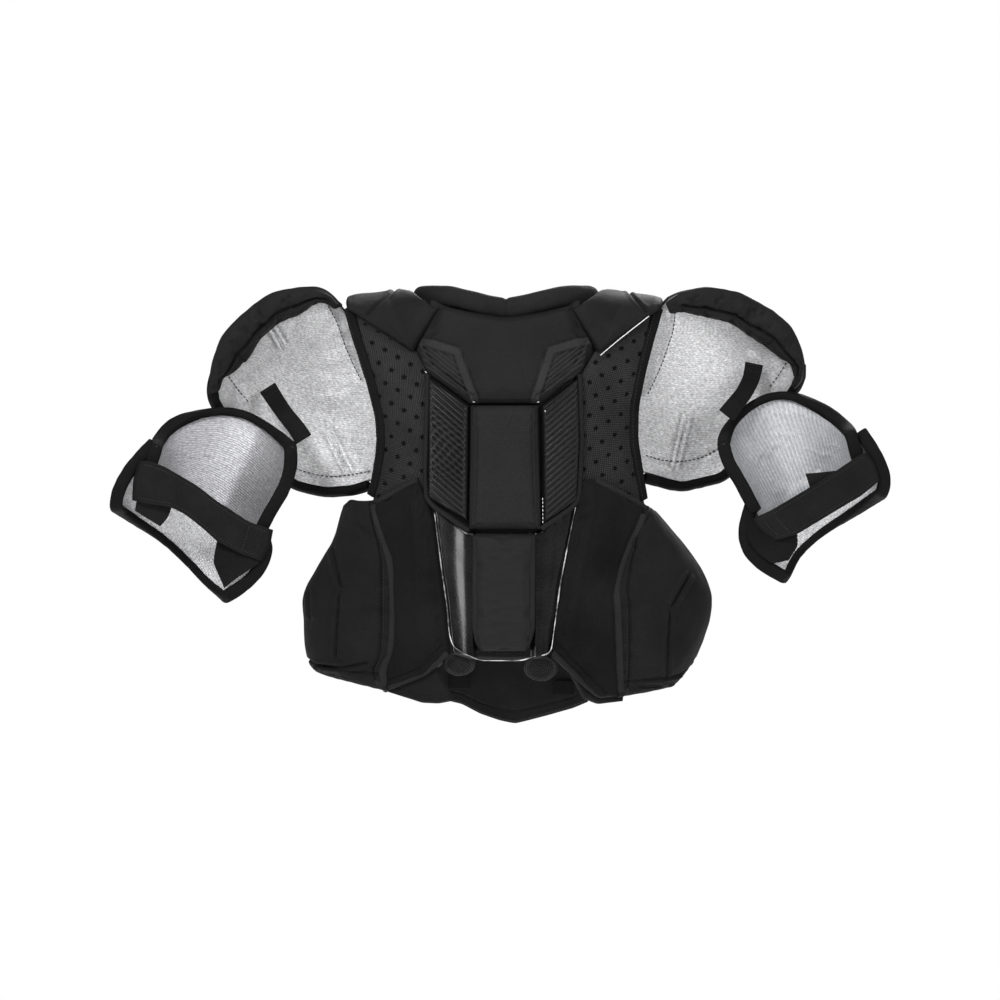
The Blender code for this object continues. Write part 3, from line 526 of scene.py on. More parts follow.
class Mat:
    def __init__(self, name):
        self.m = bpy.data.materials.new(name)
        self.m.use_nodes = True
        self.t = self.m.node_tree
        self.b = self.t.nodes["Principled BSDF"]
        self._uv = None
        self._ob = None

    def n(self, kind, **kw):
        node = self.t.nodes.new(kind)
        for k, v in kw.items():
            setattr(node, k, v)
        return node

    def link(self, a, b):
        self.t.links.new(a, b)

    def put(self, sock, val):
        if hasattr(val, "is_linked") or isinstance(val, bpy.types.NodeSocket):
            self.link(val, sock)
        else:
            sock.default_value = val

    def math(self, op, a, b=None, c=None, clamp=False):
        node = self.n("ShaderNodeMath", operation=op)
        node.use_clamp = clamp
        for s, v in zip(node.inputs, (a, b, c)):
            if v is not None:
                self.put(s, v)
        return node.outputs[0]

    def uv(self):
        if self._uv is None:
            tc = self.n("ShaderNodeUVMap")
            tc.uv_map = "UVMap"
            sep = self.n("ShaderNodeSeparateXYZ")
            self.link(tc.outputs[0], sep.inputs[0])
            self._uv = (tc.outputs[0], sep.outputs[0], sep.outputs[1])
        return self._uv

    def obj(self):
        if self._ob is None:
            tc = self.n("ShaderNodeTexCoord")
            self._ob = tc.outputs["Object"]
        return self._ob

    def noise(self, scale, detail=3.0, rough=0.55, vec=None):
        node = self.n("ShaderNodeTexNoise")
        node.inputs["Scale"].default_value = scale
        node.inputs["Detail"].default_value = detail
        node.inputs["Roughness"].default_value = rough
        self.link(vec if vec is not None else self.obj(), node.inputs["Vector"])
        return node.outputs["Fac"]

    def ramp(self, fac, a, b, x0=0.0, x1=1.0):
        node = self.n("ShaderNodeMapRange")
        node.clamp = True
        self.put(node.inputs["Value"], fac)
        node.inputs["From Min"].default_value = x0
        node.inputs["From Max"].default_value = x1
        node.inputs["To Min"].default_value = a
        node.inputs["To Max"].default_value = b
        return node.outputs[0]

    def mixc(self, fac, a, b):
        node = self.n("ShaderNodeMix", data_type="RGBA")
        self.put(node.inputs[0], fac)
        for s, v in ((node.inputs[6], a), (node.inputs[7], b)):
            if isinstance(v, tuple):
                s.default_value = (v[0], v[1], v[2], 1.0)
            else:
                self.link(v, s)
        return node.outputs[2]

    def attr(self, name):
        node = self.n("ShaderNodeAttribute")
        node.attribute_name = name
        return node.outputs["Fac"]

    def bump(self, height, strength, distance, before=None):
        node = self.n("ShaderNodeBump")
        node.inputs["Strength"].default_value = strength
        node.inputs["Distance"].default_value = distance
        self.link(height, node.inputs["Height"])
        if before is not None:
            self.link(before, node.inputs["Normal"])
        return node.outputs[0]

    def weave(self, pu, pv, twill=0.0, angle=0.0):
        """A woven height from 0 to 1: over-and-under threads of pitch pu by pv metres, optionally stepped as twill."""
        _, u, v = self.uv()
        if angle:
            c, s = math.cos(angle), math.sin(angle)
            u2 = self.math("ADD", self.math("MULTIPLY", u, c), self.math("MULTIPLY", v, s))
            v2 = self.math("SUBTRACT", self.math("MULTIPLY", v, c), self.math("MULTIPLY", u, s))
            u, v = u2, v2
        a = self.math("MULTIPLY", u, 2 * math.pi / pu)
        b = self.math("MULTIPLY", v, 2 * math.pi / pv)
        if twill:
            a = self.math("ADD", a, self.math("MULTIPLY", v, 2 * math.pi * twill / pv))
        x = self.math("SINE", a)
        y = self.math("SINE", b)
        return self.ramp(self.math("MULTIPLY", x, y), 0.0, 1.0, -1.0, 1.0)

    def done(self, rough=0.7, spec=0.2, metal=0.0, sheen=0.0, sheen_rough=0.5, sheen_tint=(1, 1, 1), coat=0.0,
             coat_rough=0.1):
        b = self.b.inputs
        if not b["Roughness"].is_linked:
            b["Roughness"].default_value = rough
        b["Metallic"].default_value = metal
        b["Specular IOR Level"].default_value = spec
        if sheen:
            b["Sheen Weight"].default_value = sheen
            b["Sheen Roughness"].default_value = sheen_rough
            b["Sheen Tint"].default_value = (*sheen_tint, 1.0)
        if coat:
            b["Coat Weight"].default_value = coat
            b["Coat Roughness"].default_value = coat_rough
        return self.m


def black_cloth(name, base=0.0085, spread=0.35, pitch=0.0011, bump=0.35, rough=0.72, spec=0.10, sheen=0.0,
                twill=0.0, fuzz=0.0, angle=0.0, tint=(1.0, 1.0, 1.03), mottled=0.25, weave_mix=0.35, film=0.0):
    m = Mat(name)
    w = m.weave(pitch, pitch, twill, angle)
    big = m.noise(14.0, 4.0)
    fine = m.noise(900.0, 2.0)
    level = m.math("MULTIPLY", m.ramp(big, 1 - mottled, 1 + mottled, 0.3, 0.7), m.ramp(w, 1 - weave_mix, 1 + weave_mix))
    level = m.math("MULTIPLY", level, m.ramp(fine, 1 - spread, 1 + spread, 0.25, 0.75))
    # a lighter film band, with a painted highlight on the rib crests of the embossed corners
    if film:
        level = m.math("MULTIPLY", level, m.ramp(m.attr("film"), 1.0, 1.0 + film))
    comb = m.n("ShaderNodeCombineColor")
    for i in range(3):
        m.put(comb.inputs[i], m.math("MULTIPLY", level, base * tint[i]))
    m.link(comb.outputs[0], m.b.inputs["Base Color"])
    m.put(m.b.inputs["Roughness"], m.ramp(big, rough - 0.06, rough + 0.08, 0.3, 0.7))
    height = m.math("ADD", m.math("MULTIPLY", w, 1.0 - fuzz), m.math("MULTIPLY", fine, 0.5 + fuzz))
    m.link(m.bump(height, bump, 0.0005), m.b.inputs["Normal"])
    return m.done(rough=rough, spec=spec, sheen=sheen, sheen_rough=0.45)


def silver_cloth(name, base=(0.50, 0.50, 0.515), pu=0.0036, pv=0.0026, angle=0.0, streak=0.10, bump=0.8, wobble=0.0022,
                 soft=1.0, ribbed=0.0):
    """Brushed silver lining: short bright stitches of uneven length in wavering rows over a darker ground."""
    m = Mat(name)
    _, u, v = m.uv()
    c, s = math.cos(angle), math.sin(angle)
    u2 = m.math("ADD", m.math("MULTIPLY", u, c), m.math("MULTIPLY", v, s))
    v2 = m.math("SUBTRACT", m.math("MULTIPLY", v, c), m.math("MULTIPLY", u, s))
    v2 = m.math("ADD", v2, m.math("MULTIPLY", m.math("SUBTRACT", m.noise(55.0, 3.0), 0.5), wobble * 2))
    u2 = m.math("ADD", u2, m.math("MULTIPLY", m.math("SUBTRACT", m.noise(140.0, 2.0), 0.5), wobble * 1.5))
    fv = m.math("DIVIDE", v2, pv)
    row = m.math("FLOOR", fv)
    wr = m.n("ShaderNodeTexWhiteNoise", noise_dimensions="1D")
    m.link(row, wr.inputs["W"])
    fu = m.math("ADD", m.math("DIVIDE", u2, pu), m.math("ADD", m.math("MULTIPLY", wr.outputs["Value"], 0.7), m.math("MULTIPLY", row, 0.5)))
    cell = m.math("FLOOR", fu)
    wc = m.n("ShaderNodeTexWhiteNoise", noise_dimensions="2D")
    pair = m.n("ShaderNodeCombineXYZ")
    m.link(cell, pair.inputs[0])
    m.link(row, pair.inputs[1])
    m.link(pair.outputs[0], wc.inputs["Vector"])
    cu = m.math("ABSOLUTE", m.math("SUBTRACT", m.math("FRACT", fu), 0.5))
    cv = m.math("ABSOLUTE", m.math("SUBTRACT", m.math("FRACT", fv), 0.5))
    end = m.math("ADD", 0.30, m.math("MULTIPLY", wc.outputs["Value"], 0.20))
    du = m.math("SUBTRACT", 1.0, m.math("DIVIDE", m.math("MAXIMUM", m.math("SUBTRACT", cu, m.math("MULTIPLY", end, 0.6)), 0.0), 0.24), clamp=True)
    dv = m.ramp(cv, 1.0, 0.0, 0.10, 0.48)
    thread = m.math("MULTIPLY", du, dv)
    fine = m.noise(650.0, 2.0)
    mid = m.noise(150.0, 3.0)
    big = m.noise(9.0, 3.0)
    long = m.n("ShaderNodeCombineXYZ")
    m.put(long.inputs[0], m.math("MULTIPLY", u2, 1.0 / pu))
    m.put(long.inputs[1], m.math("MULTIPLY", v2, 1.0 / pv))
    dash = m.noise(1.15, 2.0, 0.6, long.outputs[0])
    level = m.ramp(thread, 1 - 0.17 * soft, 1 + 0.10 * soft)
    level = m.math("MULTIPLY", level, m.ramp(dash, 1 - 0.30 * soft, 1 + 0.24 * soft, 0.32, 0.68))
    level = m.math("MULTIPLY", level, m.ramp(wc.outputs["Value"], 1 - 0.07 * soft, 1 + 0.07 * soft))
    level = m.math("MULTIPLY", level, m.ramp(fine, 0.84, 1.14, 0.25, 0.75))
    level = m.math("MULTIPLY", level, m.ramp(mid, 1 - 0.08 * soft, 1 + 0.08 * soft, 0.3, 0.7))
    if ribbed:
        rib = m.math("SINE", m.math("MULTIPLY", v2, 2 * math.pi / ribbed))
        level = m.math("MULTIPLY", level, m.ramp(rib, 1 - 34 * ribbed, 1 + 22 * ribbed, -1.0, 1.0))
    level = m.math("MULTIPLY", level, m.ramp(big, 1 - streak, 1 + streak, 0.3, 0.7))
    # painted shade: the lining is painted darker under the roll, beside the tape and in the seams
    level = m.math("MULTIPLY", level, m.ramp(m.attr("shade"), 1.0, 0.45))
    # painted light: broad bands of the lining are painted brighter and darker, as light and shade would fall on it
    level = m.math("MULTIPLY", level, m.math("ADD", 1.0, m.attr("nap")))
    comb = m.n("ShaderNodeCombineColor")
    for i in range(3):
        m.put(comb.inputs[i], m.math("MULTIPLY", level, base[i]))
    m.link(comb.outputs[0], m.b.inputs["Base Color"])
    m.put(m.b.inputs["Roughness"], m.ramp(thread, 0.62, 0.42))
    tall = m.math("ADD", m.math("MULTIPLY", thread, 0.5), m.math("ADD", dash, m.math("MULTIPLY", fine, 0.5)))
    if ribbed:
        tall = m.math("ADD", tall, m.math("MULTIPLY", rib, 0.5))
    m.link(m.bump(tall, bump, 0.0006), m.b.inputs["Normal"])
    return m.done(rough=0.5, spec=0.35, metal=0.15, sheen=0.04, sheen_rough=0.4)


def perforated_cloth(name):
    """Coarse woven carrier fabric; the pits are painted darker inside, as painted shade in the holes."""
    m = Mat(name)
    w = m.weave(0.0034, 0.0034, 0.0, 0.95)
    fine = m.noise(800.0, 2.0)
    big = m.noise(22.0, 3.0)
    pit = m.attr("pit")
    level = m.math("MULTIPLY", m.ramp(w, 0.08, 2.4), m.ramp(fine, 0.6, 1.4, 0.25, 0.75))
    level = m.math("MULTIPLY", level, m.ramp(big, 0.8, 1.2, 0.3, 0.7))
    # painted shade: the pits are painted darker
    level = m.math("MULTIPLY", level, m.ramp(pit, 1.0, 0.20, 0.15, 0.85))
    comb = m.n("ShaderNodeCombineColor")
    for i, c in enumerate((0.0112, 0.0112, 0.0116)):
        m.put(comb.inputs[i], m.math("MULTIPLY", level, c))
    m.link(comb.outputs[0], m.b.inputs["Base Color"])
    m.link(m.bump(m.math("ADD", w, m.math("MULTIPLY", fine, 0.4)), 0.5, 0.0006), m.b.inputs["Normal"])
    return m.done(rough=0.62, spec=0.06)


def plastic(name, base, rough, coat=0.0, scuff=0.25, spec=0.5, bump=0.05):
    m = Mat(name)
    big = m.noise(30.0, 5.0, 0.65)
    fine = m.noise(420.0, 3.0, 0.6)
    level = m.math("MULTIPLY", m.ramp(big, 0.8, 1.25, 0.3, 0.7), m.ramp(fine, 0.92, 1.08, 0.3, 0.7))
    comb = m.n("ShaderNodeCombineColor")
    for i in range(3):
        m.put(comb.inputs[i], m.math("MULTIPLY", level, base[i]))
    m.link(comb.outputs[0], m.b.inputs["Base Color"])
    m.put(m.b.inputs["Roughness"], m.ramp(m.math("ADD", m.math("MULTIPLY", big, 0.7), m.math("MULTIPLY", fine, 0.3)),
                                           rough * (1 - scuff), rough * (1 + scuff), 0.3, 0.7))
    m.link(m.bump(fine, bump, 0.0004), m.b.inputs["Normal"])
    return m.done(rough=rough, spec=spec, coat=coat, coat_rough=0.12)


def webbing(name, base=0.0075, rib=0.0016, spec=0.12, rough=0.7):
    """Ribbed woven tape: cross ribs with fine thread noise."""
    m = Mat(name)
    _, u, v = m.uv()
    ribs = m.ramp(m.math("SINE", m.math("MULTIPLY", u, 2 * math.pi / rib)), 0.0, 1.0, -1.0, 1.0)
    fine = m.noise(1000.0, 2.0)
    big = m.noise(35.0, 3.0)
    level = m.math("MULTIPLY", m.ramp(ribs, 0.7, 1.3), m.ramp(fine, 0.6, 1.4, 0.25, 0.75))
    level = m.math("MULTIPLY", level, m.ramp(big, 0.8, 1.2, 0.3, 0.7))
    comb = m.n("ShaderNodeCombineColor")
    for i in range(3):
        m.put(comb.inputs[i], m.math("MULTIPLY", level, base))
    m.link(comb.outputs[0], m.b.inputs["Base Color"])
    m.link(m.bump(m.math("ADD", ribs, m.math("MULTIPLY", fine, 0.5)), 0.4, 0.0004), m.b.inputs["Normal"])
    return m.done(rough=rough, spec=spec)


def thread(name, colour, worn=0.0):
    m = Mat(name)
    tw = m.noise(1500.0, 2.0)
    if worn:
        tw = m.math("MULTIPLY", tw, m.ramp(m.noise(70.0, 3.0), 1.0 - worn, 1.0, 0.42, 0.60))
    comb = m.n("ShaderNodeCombineColor")
    for i in range(3):
        m.put(comb.inputs[i], m.math("MULTIPLY", m.ramp(tw, 0.06 if worn else 0.6, 1.3, 0.12 if worn else 0.25, 0.75), colour[i]))
    m.link(comb.outputs[0], m.b.inputs["Base Color"])
    m.link(m.bump(tw, 0.4, 0.0002), m.b.inputs["Normal"])
    return m.done(rough=0.6, spec=0.25)


nylon = black_cloth("black_nylon", base=0.0075, pitch=0.0009, rough=0.62, spec=0.07, bump=0.22)
yoke_nylon = black_cloth("yoke_nylon", base=0.0080, pitch=0.0009, rough=0.66, spec=0.05, bump=0.2)
upper_cloth = black_cloth("upper_back_cloth", base=0.0080, pitch=0.0010, rough=0.62, spec=0.06, bump=0.25, twill=1.0, film=1.35)
knit = black_cloth("collar_knit", base=0.0105, pitch=0.0013, rough=0.75, spec=0.05, sheen=0.01, bump=0.35, fuzz=0.3)
spine_cloth = black_cloth("spine_mesh_cloth", base=0.0114, pitch=0.0026, rough=0.66, spec=0.07, bump=0.8,
                          weave_mix=0.55, mottled=0.12)
loop = black_cloth("loop_fabric", base=0.0062, pitch=0.0017, rough=0.88, spec=0.03, sheen=0.015, bump=0.5, fuzz=0.6,
                   mottled=0.35)
wrap_cloth = black_cloth("wrap_cloth", base=0.0073, pitch=0.0012, rough=0.75, spec=0.04, sheen=0.015, bump=0.3,
                         fuzz=0.3, mottled=0.3, tint=(1.04, 1.0, 1.0))
roll_cloth = black_cloth("cap_roll_cloth", base=0.0066, pitch=0.0024, rough=0.66, spec=0.08, sheen=0.02, bump=0.8, fuzz=0.35, weave_mix=0.6)
rib_cloth = black_cloth("rib_film", base=0.0085, pitch=0.0012, rough=0.36, spec=0.20, sheen=0.0, bump=0.12, mottled=0.2)
# painted shade: a duller copy of the rib film for the right plate, its colour painted darker as shade
rib_cloth_dull_shaded = black_cloth("rib_film_dull", base=0.0050, pitch=0.0012, rough=0.45, spec=0.12, sheen=0.0, bump=0.12, mottled=0.2)
cover_cloth = black_cloth("outer_cover", base=0.0110, pitch=0.0014, rough=0.62, spec=0.1, sheen=0.01, bump=0.35, twill=1.0)
lining_dark = black_cloth("dark_lining", base=0.0280, pitch=0.0019, rough=0.8, spec=0.08, sheen=0.02, bump=0.4)
perforated = perforated_cloth("perforated_carrier")
gloss = plastic("gloss_black_plate", (0.0016, 0.0016, 0.0019), 0.23, coat=0.16, spec=0.16, scuff=0.5, bump=0.5)
satin = plastic("satin_black_shell", (0.0105, 0.0105, 0.0110), 0.38, coat=0.1, spec=0.3, bump=0.12)
hook = black_cloth("hook_patch", base=0.0052, pitch=0.0021, rough=0.6, spec=0.07, bump=0.9, weave_mix=0.7)
tape = webbing("edge_tape", base=0.0046, rib=0.0014, spec=0.04)
strap_web = webbing("strap_webbing", base=0.0064, rib=0.0020, spec=0.05)
elastic = webbing("elastic_webbing", base=0.0058, rib=0.0028, spec=0.04)
silver_cap = silver_cloth("silver_cap_lining", base=(0.53, 0.53, 0.54), pu=0.0052, pv=0.0023, angle=0.12, wobble=0.0012, bump=1.0, soft=1.0)
silver_shield = silver_cloth("silver_shield_lining", base=(0.36, 0.36, 0.375), pu=0.0055, pv=0.0024, angle=0.10, streak=0.05, wobble=0.0008, soft=0.8, bump=0.6, ribbed=0.0024)
silver_rib = silver_cloth("silver_ribbed_lining", base=(0.352, 0.357, 0.372), pu=0.0066, pv=0.0022, angle=math.pi / 2 - 0.05, streak=0.05, wobble=0.0004, soft=0.45, bump=0.5, ribbed=0.0046)
silver_cuff = silver_cloth("silver_cuff_lining", base=(0.46, 0.46, 0.47), pu=0.0042, pv=0.0022, angle=0.2, wobble=0.001)
black_thread = thread("black_thread", (0.010, 0.010, 0.011))
grey_thread = thread("grey_thread", (0.62, 0.62, 0.63))
pale_cord = thread("pale_cord", (0.60, 0.60, 0.59))
piping = thread("plate_piping", (0.55, 0.55, 0.55), 0.75)
border_cloth = black_cloth("border_cloth", base=0.0120, pitch=0.0012, rough=0.72, spec=0.05, sheen=0.015, bump=0.4, fuzz=0.3, mottled=0.3)
belly_cloth = black_cloth("belly_cloth", base=0.0122, pitch=0.0012, rough=0.75, spec=0.04, sheen=0.015, bump=0.3, fuzz=0.3, mottled=0.3)
dart_thread = thread("dart_thread", (0.66, 0.66, 0.67))
faint_thread = thread("faint_thread", (0.015, 0.015, 0.016))

# ================================================================= pads on a raised surface
def soft_pad(name, body, mat, place, patch, low, edge, high, step=0.0020, power=6.0, detail=None, attrs=None, fill=0.7,
             sim=None, bulge=0.0015, replaces=(), slot=None, mat_in=None, roll=0.007):
    """A crowned cushion: its rim turns down over the distance roll, its middle stands at height high."""
    lu = 0.5 * (patch.t.length + patch.b.length)
    lv = 0.5 * (patch.l.length + patch.r.length)
    nu, nv = max(12, int(lu / step)), max(12, int(lv / step))

    def shape(nu, nv, fine):
        u, v = mesh_uv(nu, nv, 0.55)
        q = patch.at(u, v)
        x, z = q[..., 0], q[..., 1]
        eu = np.minimum(u, 1 - u) * lu
        ev = np.minimum(v, 1 - v) * lv
        e = np.minimum(eu, ev)
        turn = np.sqrt(np.clip(1 - (1 - np.clip(e / roll, 0, 1)) ** 2, 0, 1))
        crown = np.sqrt((1 - np.abs(2 * u - 1) ** power) * (1 - np.abs(2 * v - 1) ** power))
        h = low + 0.0015 + (edge - low - 0.0015) * turn + (high - edge) * crown
        extra = {}
        if fine and detail:
            got = detail(x, z, u, v)
            h = h + got * smooth(0, 0.25, turn) if not isinstance(got, tuple) else h + got[0]
            if isinstance(got, tuple):
                extra = got[1]
        return place(x, z, h), place(x, z, low), extra
    outer, inner, extra = shape(nu, nv, True)
    if sim:
        cu, cv = max(10, int(lu / 0.0055)), max(10, int(lv / 0.0055))
        o, i, _ = shape(cu, cv, False)
        outer = outer + grow_to(billow(o, i, **sim), nu, nv)
    return slab(name, body, mat, outer, inner, mat_in, bulge, 2, extra or None, replaces, slot, fill)


# ---- carrier and lining, whole
BACK_EDGE_L = [(347, 309), (356, 342), (369, 384), (377, 420), (378, 444), (372, 482), (365, 499), (378, 537),
               (385, 561), (385, 641), (383, 668), (382, 688)]
BACK_EDGE_R = [(660, 309), (655, 326), (643, 373), (637, 409), (637, 441), (644, 479), (650, 503), (640, 518),
               (622, 572), (621, 596), (623, 657), (623, 693)]
BACK_TOP = [(347, 309), (400, 322), (443, 304), (471, 309), (507, 314), (541, 309), (567, 304), (608, 322), (660, 309)]
BACK_BOTTOM = [(382, 688), (424, 674), (446, 656), (507, 659), (555, 656), (585, 682), (623, 693)]


def plain_sheet(name, body, mat, place, patch, low, high, nu, nv, replaces, detail=None, slot=None, bulge=0.0005,
                fill=None):
    u, v = mesh_uv(nu, nv)
    q = patch.at(u, v)
    x, z = q[..., 0], q[..., 1]
    h = high + (detail(x, z, u, v) if detail else 0)
    return slab(name, body, mat, place(x, z, h + 0 * x), place(x, z, low + 0 * x), None, bulge, 2, None, replaces, slot, fill)


back_patch = Patch(BACK_TOP, BACK_EDGE_R, BACK_BOTTOM, BACK_EDGE_L)
plain_sheet("back_carrier", "vest", nylon, BACK, back_patch, -0.0155, -0.0125, 90, 110, "back_base_panel",
            lambda x, z, u, v: 0.0004 * noise(x, z, 0.018, 3), "back_base_panel")
plain_sheet("back_lining", "vest", lining_dark, BACK, back_patch, -0.0197, -0.0162, 90, 110, "back_liner",
            lambda x, z, u, v: 0.0003 * noise(x, z, 0.02, 4), "back_liner")

# ---- perforated panels over the shoulder blades
STEP_A, STEP_B = (13.0, 7.0), (6.2, 20.4)


def pits(x, z, origin, mirror):
    """Depth of the star holes at points: a staggered lattice."""
    su, sv = x / SHEET + MIDLINE, DATUM - z / SHEET
    a = np.array([[STEP_A[0] * mirror, STEP_B[0] * mirror], [STEP_A[1], STEP_B[1]]])
    inv = np.linalg.inv(a)
    du, dv = su - origin[0], sv - origin[1]
    i = inv[0, 0] * du + inv[0, 1] * dv
    j = inv[1, 0] * du + inv[1, 1] * dv
    best = np.full(x.shape, 9.0)
    for oi in (0, 1):
        for oj in (0, 1):
            ii, jj = np.floor(i) + oi, np.floor(j) + oj
            cu = origin[0] + a[0, 0] * ii + a[0, 1] * jj
            cv = origin[1] + a[1, 0] * ii + a[1, 1] * jj
            ru, rv = (su - cu) * SHEET, (sv - cv) * SHEET
            th = np.arctan2(rv, ru)
            r = np.hypot(ru, rv) / (0.0026 * (1 + 0.30 * np.cos(5 * th + 0.6 * ii)))
            best = np.minimum(best, r)
    return 1 - smooth(0.62, 1.12, best)


def mesh_panel(name, outline, origin, mirror, slot):
    patch = Patch(*outline, r=0.002)
    lu = 0.5 * (patch.t.length + patch.b.length)
    lv = 0.5 * (patch.l.length + patch.r.length)
    nu, nv = int(lu / 0.00085), int(lv / 0.00085)
    u, v = mesh_uv(nu, nv)
    q = patch.at(u, v)
    x, z = q[..., 0], q[..., 1]
    # the pit mask sets the depth of the star holes and the painted shade inside them
    pit = pits(x, z, origin, mirror)
    e = np.minimum(np.minimum(u, 1 - u) * lu, np.minimum(v, 1 - v) * lv)
    pit = pit * smooth(0.002, 0.006, e)
    puff = 0.0016 * smooth(0, 0.02, e)
    h = -0.0098 + puff - 0.0024 * pit + 0.00035 * noise(x, z, 0.012, 7) + 0.0005 * noise(x, z, 0.03, 8)
    slab(name, "vest", perforated, BACK(x, z, h), BACK(x, z, -0.0122 + 0 * x), None, 0.0004, 1, {"pit": pit}, (), slot, 0.5)


mesh_panel("left_mesh_panel",
           ([(346, 309), (414, 350)], [(414, 350), (429, 378), (426, 440), (424, 500)], [(366, 506), (424, 500)],
            [(346, 309), (356, 342), (369, 384), (376, 420), (377, 444), (371, 482), (366, 506)]),
           (369, 342), 1, "back_base_panel")
mesh_panel("right_mesh_panel",
           ([(597, 350), (661, 309)], [(661, 309), (656, 326), (644, 373), (638, 409), (638, 441), (645, 479), (652, 510)],
            [(580, 500), (652, 510)], [(597, 350), (580, 378), (581, 440), (580, 500)]),
           (637, 340), -1, "back_base_panel")

# ---- upper back pad with its embossed corners
UPPER = ([(438, 302), (471, 309), (507, 313.5), (541, 309), (572, 302)],
         [(572, 302), (595, 345), (582, 371), (542, 403)], [(468, 403), (542, 403)],
         [(438, 302), (414, 348), (426, 372), (468, 403)])
CHEV_L = [(417, 340), (457, 353), (474, 401)]
CHEV_R = [(590, 340), (551, 352), (535, 401)]


def chevron(x, z, line, corner, sign):
    d, _ = to_path(x, z, line)
    band = 0.0017 * (smooth(0.0052, 0.0036, d))
    band = band - 0.0010 * np.exp(-((d - 0.0060) / 0.0010) ** 2)
    inner = inside(x, z, [line[0], line[1], line[2], corner])
    su, sv = x / SHEET + MIDLINE, DATUM - z / SHEET
    run = (sv - 0.78 * sign * (su - MIDLINE)) / 5.0
    ribs = 0.0014 * (0.5 + 0.5 * np.cos(2 * np.pi * run)) - 0.0004
    depth = smooth(0.0045, 0.0060, d) * inner
    return np.where(d < 0.0080, band, 0) + ribs * depth


def upper_detail(x, z, u, v):
    h = chevron(x, z, CHEV_L, (424, 372), 1) + chevron(x, z, CHEV_R, (583, 372), -1)
    for edge in ([(414, 348), (426, 372), (468, 403)], [(595, 345), (582, 371), (542, 403)]):
        d, _ = to_path(x, z, edge)
        h = h + 0.0012 * smooth(0.0080, 0.0060, d) + groove(d - 0.0090, 0.0010, 0.0014)
    h = h + 0.0003 * noise(x, z, 0.02, 11) + 0.0006 * noise(x, z, 0.05, 12)
    # the chevron bands are a lighter film and the crests of the corner ribs carry a painted highlight
    film_band_and_highlight = 0 * x
    su, sv = x / SHEET + MIDLINE, DATUM - z / SHEET
    for line, corner, sign in ((CHEV_L, (424, 372), 1), (CHEV_R, (583, 372), -1)):
        d, _ = to_path(x, z, line)
        film_band_and_highlight = np.maximum(film_band_and_highlight, smooth(0.0054, 0.0036, d))
        inner = inside(x, z, [line[0], line[1], line[2], corner])
        run = (sv - 0.78 * sign * (su - MIDLINE)) / 5.0
        film_band_and_highlight = np.maximum(film_band_and_highlight, (0.15 + 0.85 * (0.5 + 0.5 * np.cos(2 * np.pi * run))) * smooth(0.0045, 0.0060, d) * inner)
    rim = np.minimum(np.minimum(u, 1 - u), np.minimum(v, 1 - v))
    return h * smooth(0.0, 0.02, rim), {"film": film_band_and_highlight}


soft_pad("upper_back", "vest", upper_cloth, BACK, Patch(*UPPER, r=0.002), -0.011, -0.0025, 0.0018, 0.0011, 5.0,
         upper_detail, replaces="upper_back_pad", slot="upper_back_pad", roll=0.006, bulge=0.001, fill=0.8,
         sim=dict(pressure=1.5, grow=0.006, limit=0.002))

plain_sheet("neck_facing", "vest", nylon, BACK,
            Patch([(430, 296), (470, 302), (507, 306), (541, 302), (580, 296)], [(580, 296), (580, 318)],
                  [(430, 318), (507, 332), (580, 318)], [(430, 296), (430, 318)]), -0.0125, -0.0098, 60, 16, (), slot="back_base_panel")
# ---- ribbed plates
RIB_L = ([(427, 376), (468, 405)], [(468, 405), (466.5, 521)], [(426, 498), (466.5, 521)], [(427, 376), (426, 498)])
RIB_R = ([(542, 405), (580, 376)], [(580, 376), (582, 441), (579, 501)], [(544, 525), (579, 501)], [(542, 405), (544, 525)])


def ribs(sign, pitch=6.3, slope=0.86, tall=0.0030):
    def detail(x, z, u, v):
        su, sv = x / SHEET + MIDLINE, DATUM - z / SHEET
        run = (sv - slope * sign * (su - MIDLINE)) / pitch
        wave = np.abs(np.mod(run, 1.0) - 0.5) * 2
        h = tall * smooth(0.10, 0.85, wave) - 0.0009
        fade = smooth(0.05, 0.12, np.minimum(np.minimum(u, 1 - u), np.minimum(v, 1 - v) * 3))
        return h * fade + 0.0004 * noise(x, z, 0.03, 13)
    return detail


soft_pad("left_ribs", "vest", rib_cloth, BACK, Patch(*RIB_L, r=0.0015), -0.011, -0.0042, -0.0012, 0.0010, 5.0, ribs(1),
         replaces="left_ribbed_plate", slot="left_ribbed_plate", roll=0.005, bulge=0.0006, fill=0.9)
soft_pad("right_ribs", "vest", rib_cloth_dull_shaded, BACK, Patch(*RIB_R, r=0.0015), -0.011, -0.0042, -0.0012, 0.0010, 5.0, ribs(-1, tall=0.0017),
         replaces="right_ribbed_plate", slot="right_ribbed_plate", roll=0.005, bulge=0.0006, fill=0.9)

for word, line in (("left", [(426.5, 374), (424.5, 440), (423.5, 470), (424.5, 498), (433, 507.5), (468, 531)]),
                   ("right", [(581, 374), (583.5, 441), (581.5, 480), (580, 500), (573, 508), (542, 529)])):
    path, normal = track(BACK, line, np.interp(np.linspace(0, 1, 220), [0, 0.70, 0.8, 1], [-0.0052, -0.0052, -0.0046, -0.0040]), 220, 0.003)
    sweep(word + "_rib_border", "vest", nylon, path, across_of(path, normal), 0.0030, 0.0022, 14, 2.2, wob=0.08, seed=58)

# ---- spine column
SPINE = ([(470, 404.5), (538.5, 404.5)], [(538.5, 404.5), (542, 529.5)], [(468, 529.5), (542, 529.5)],
         [(470, 404.5), (468, 529.5)])


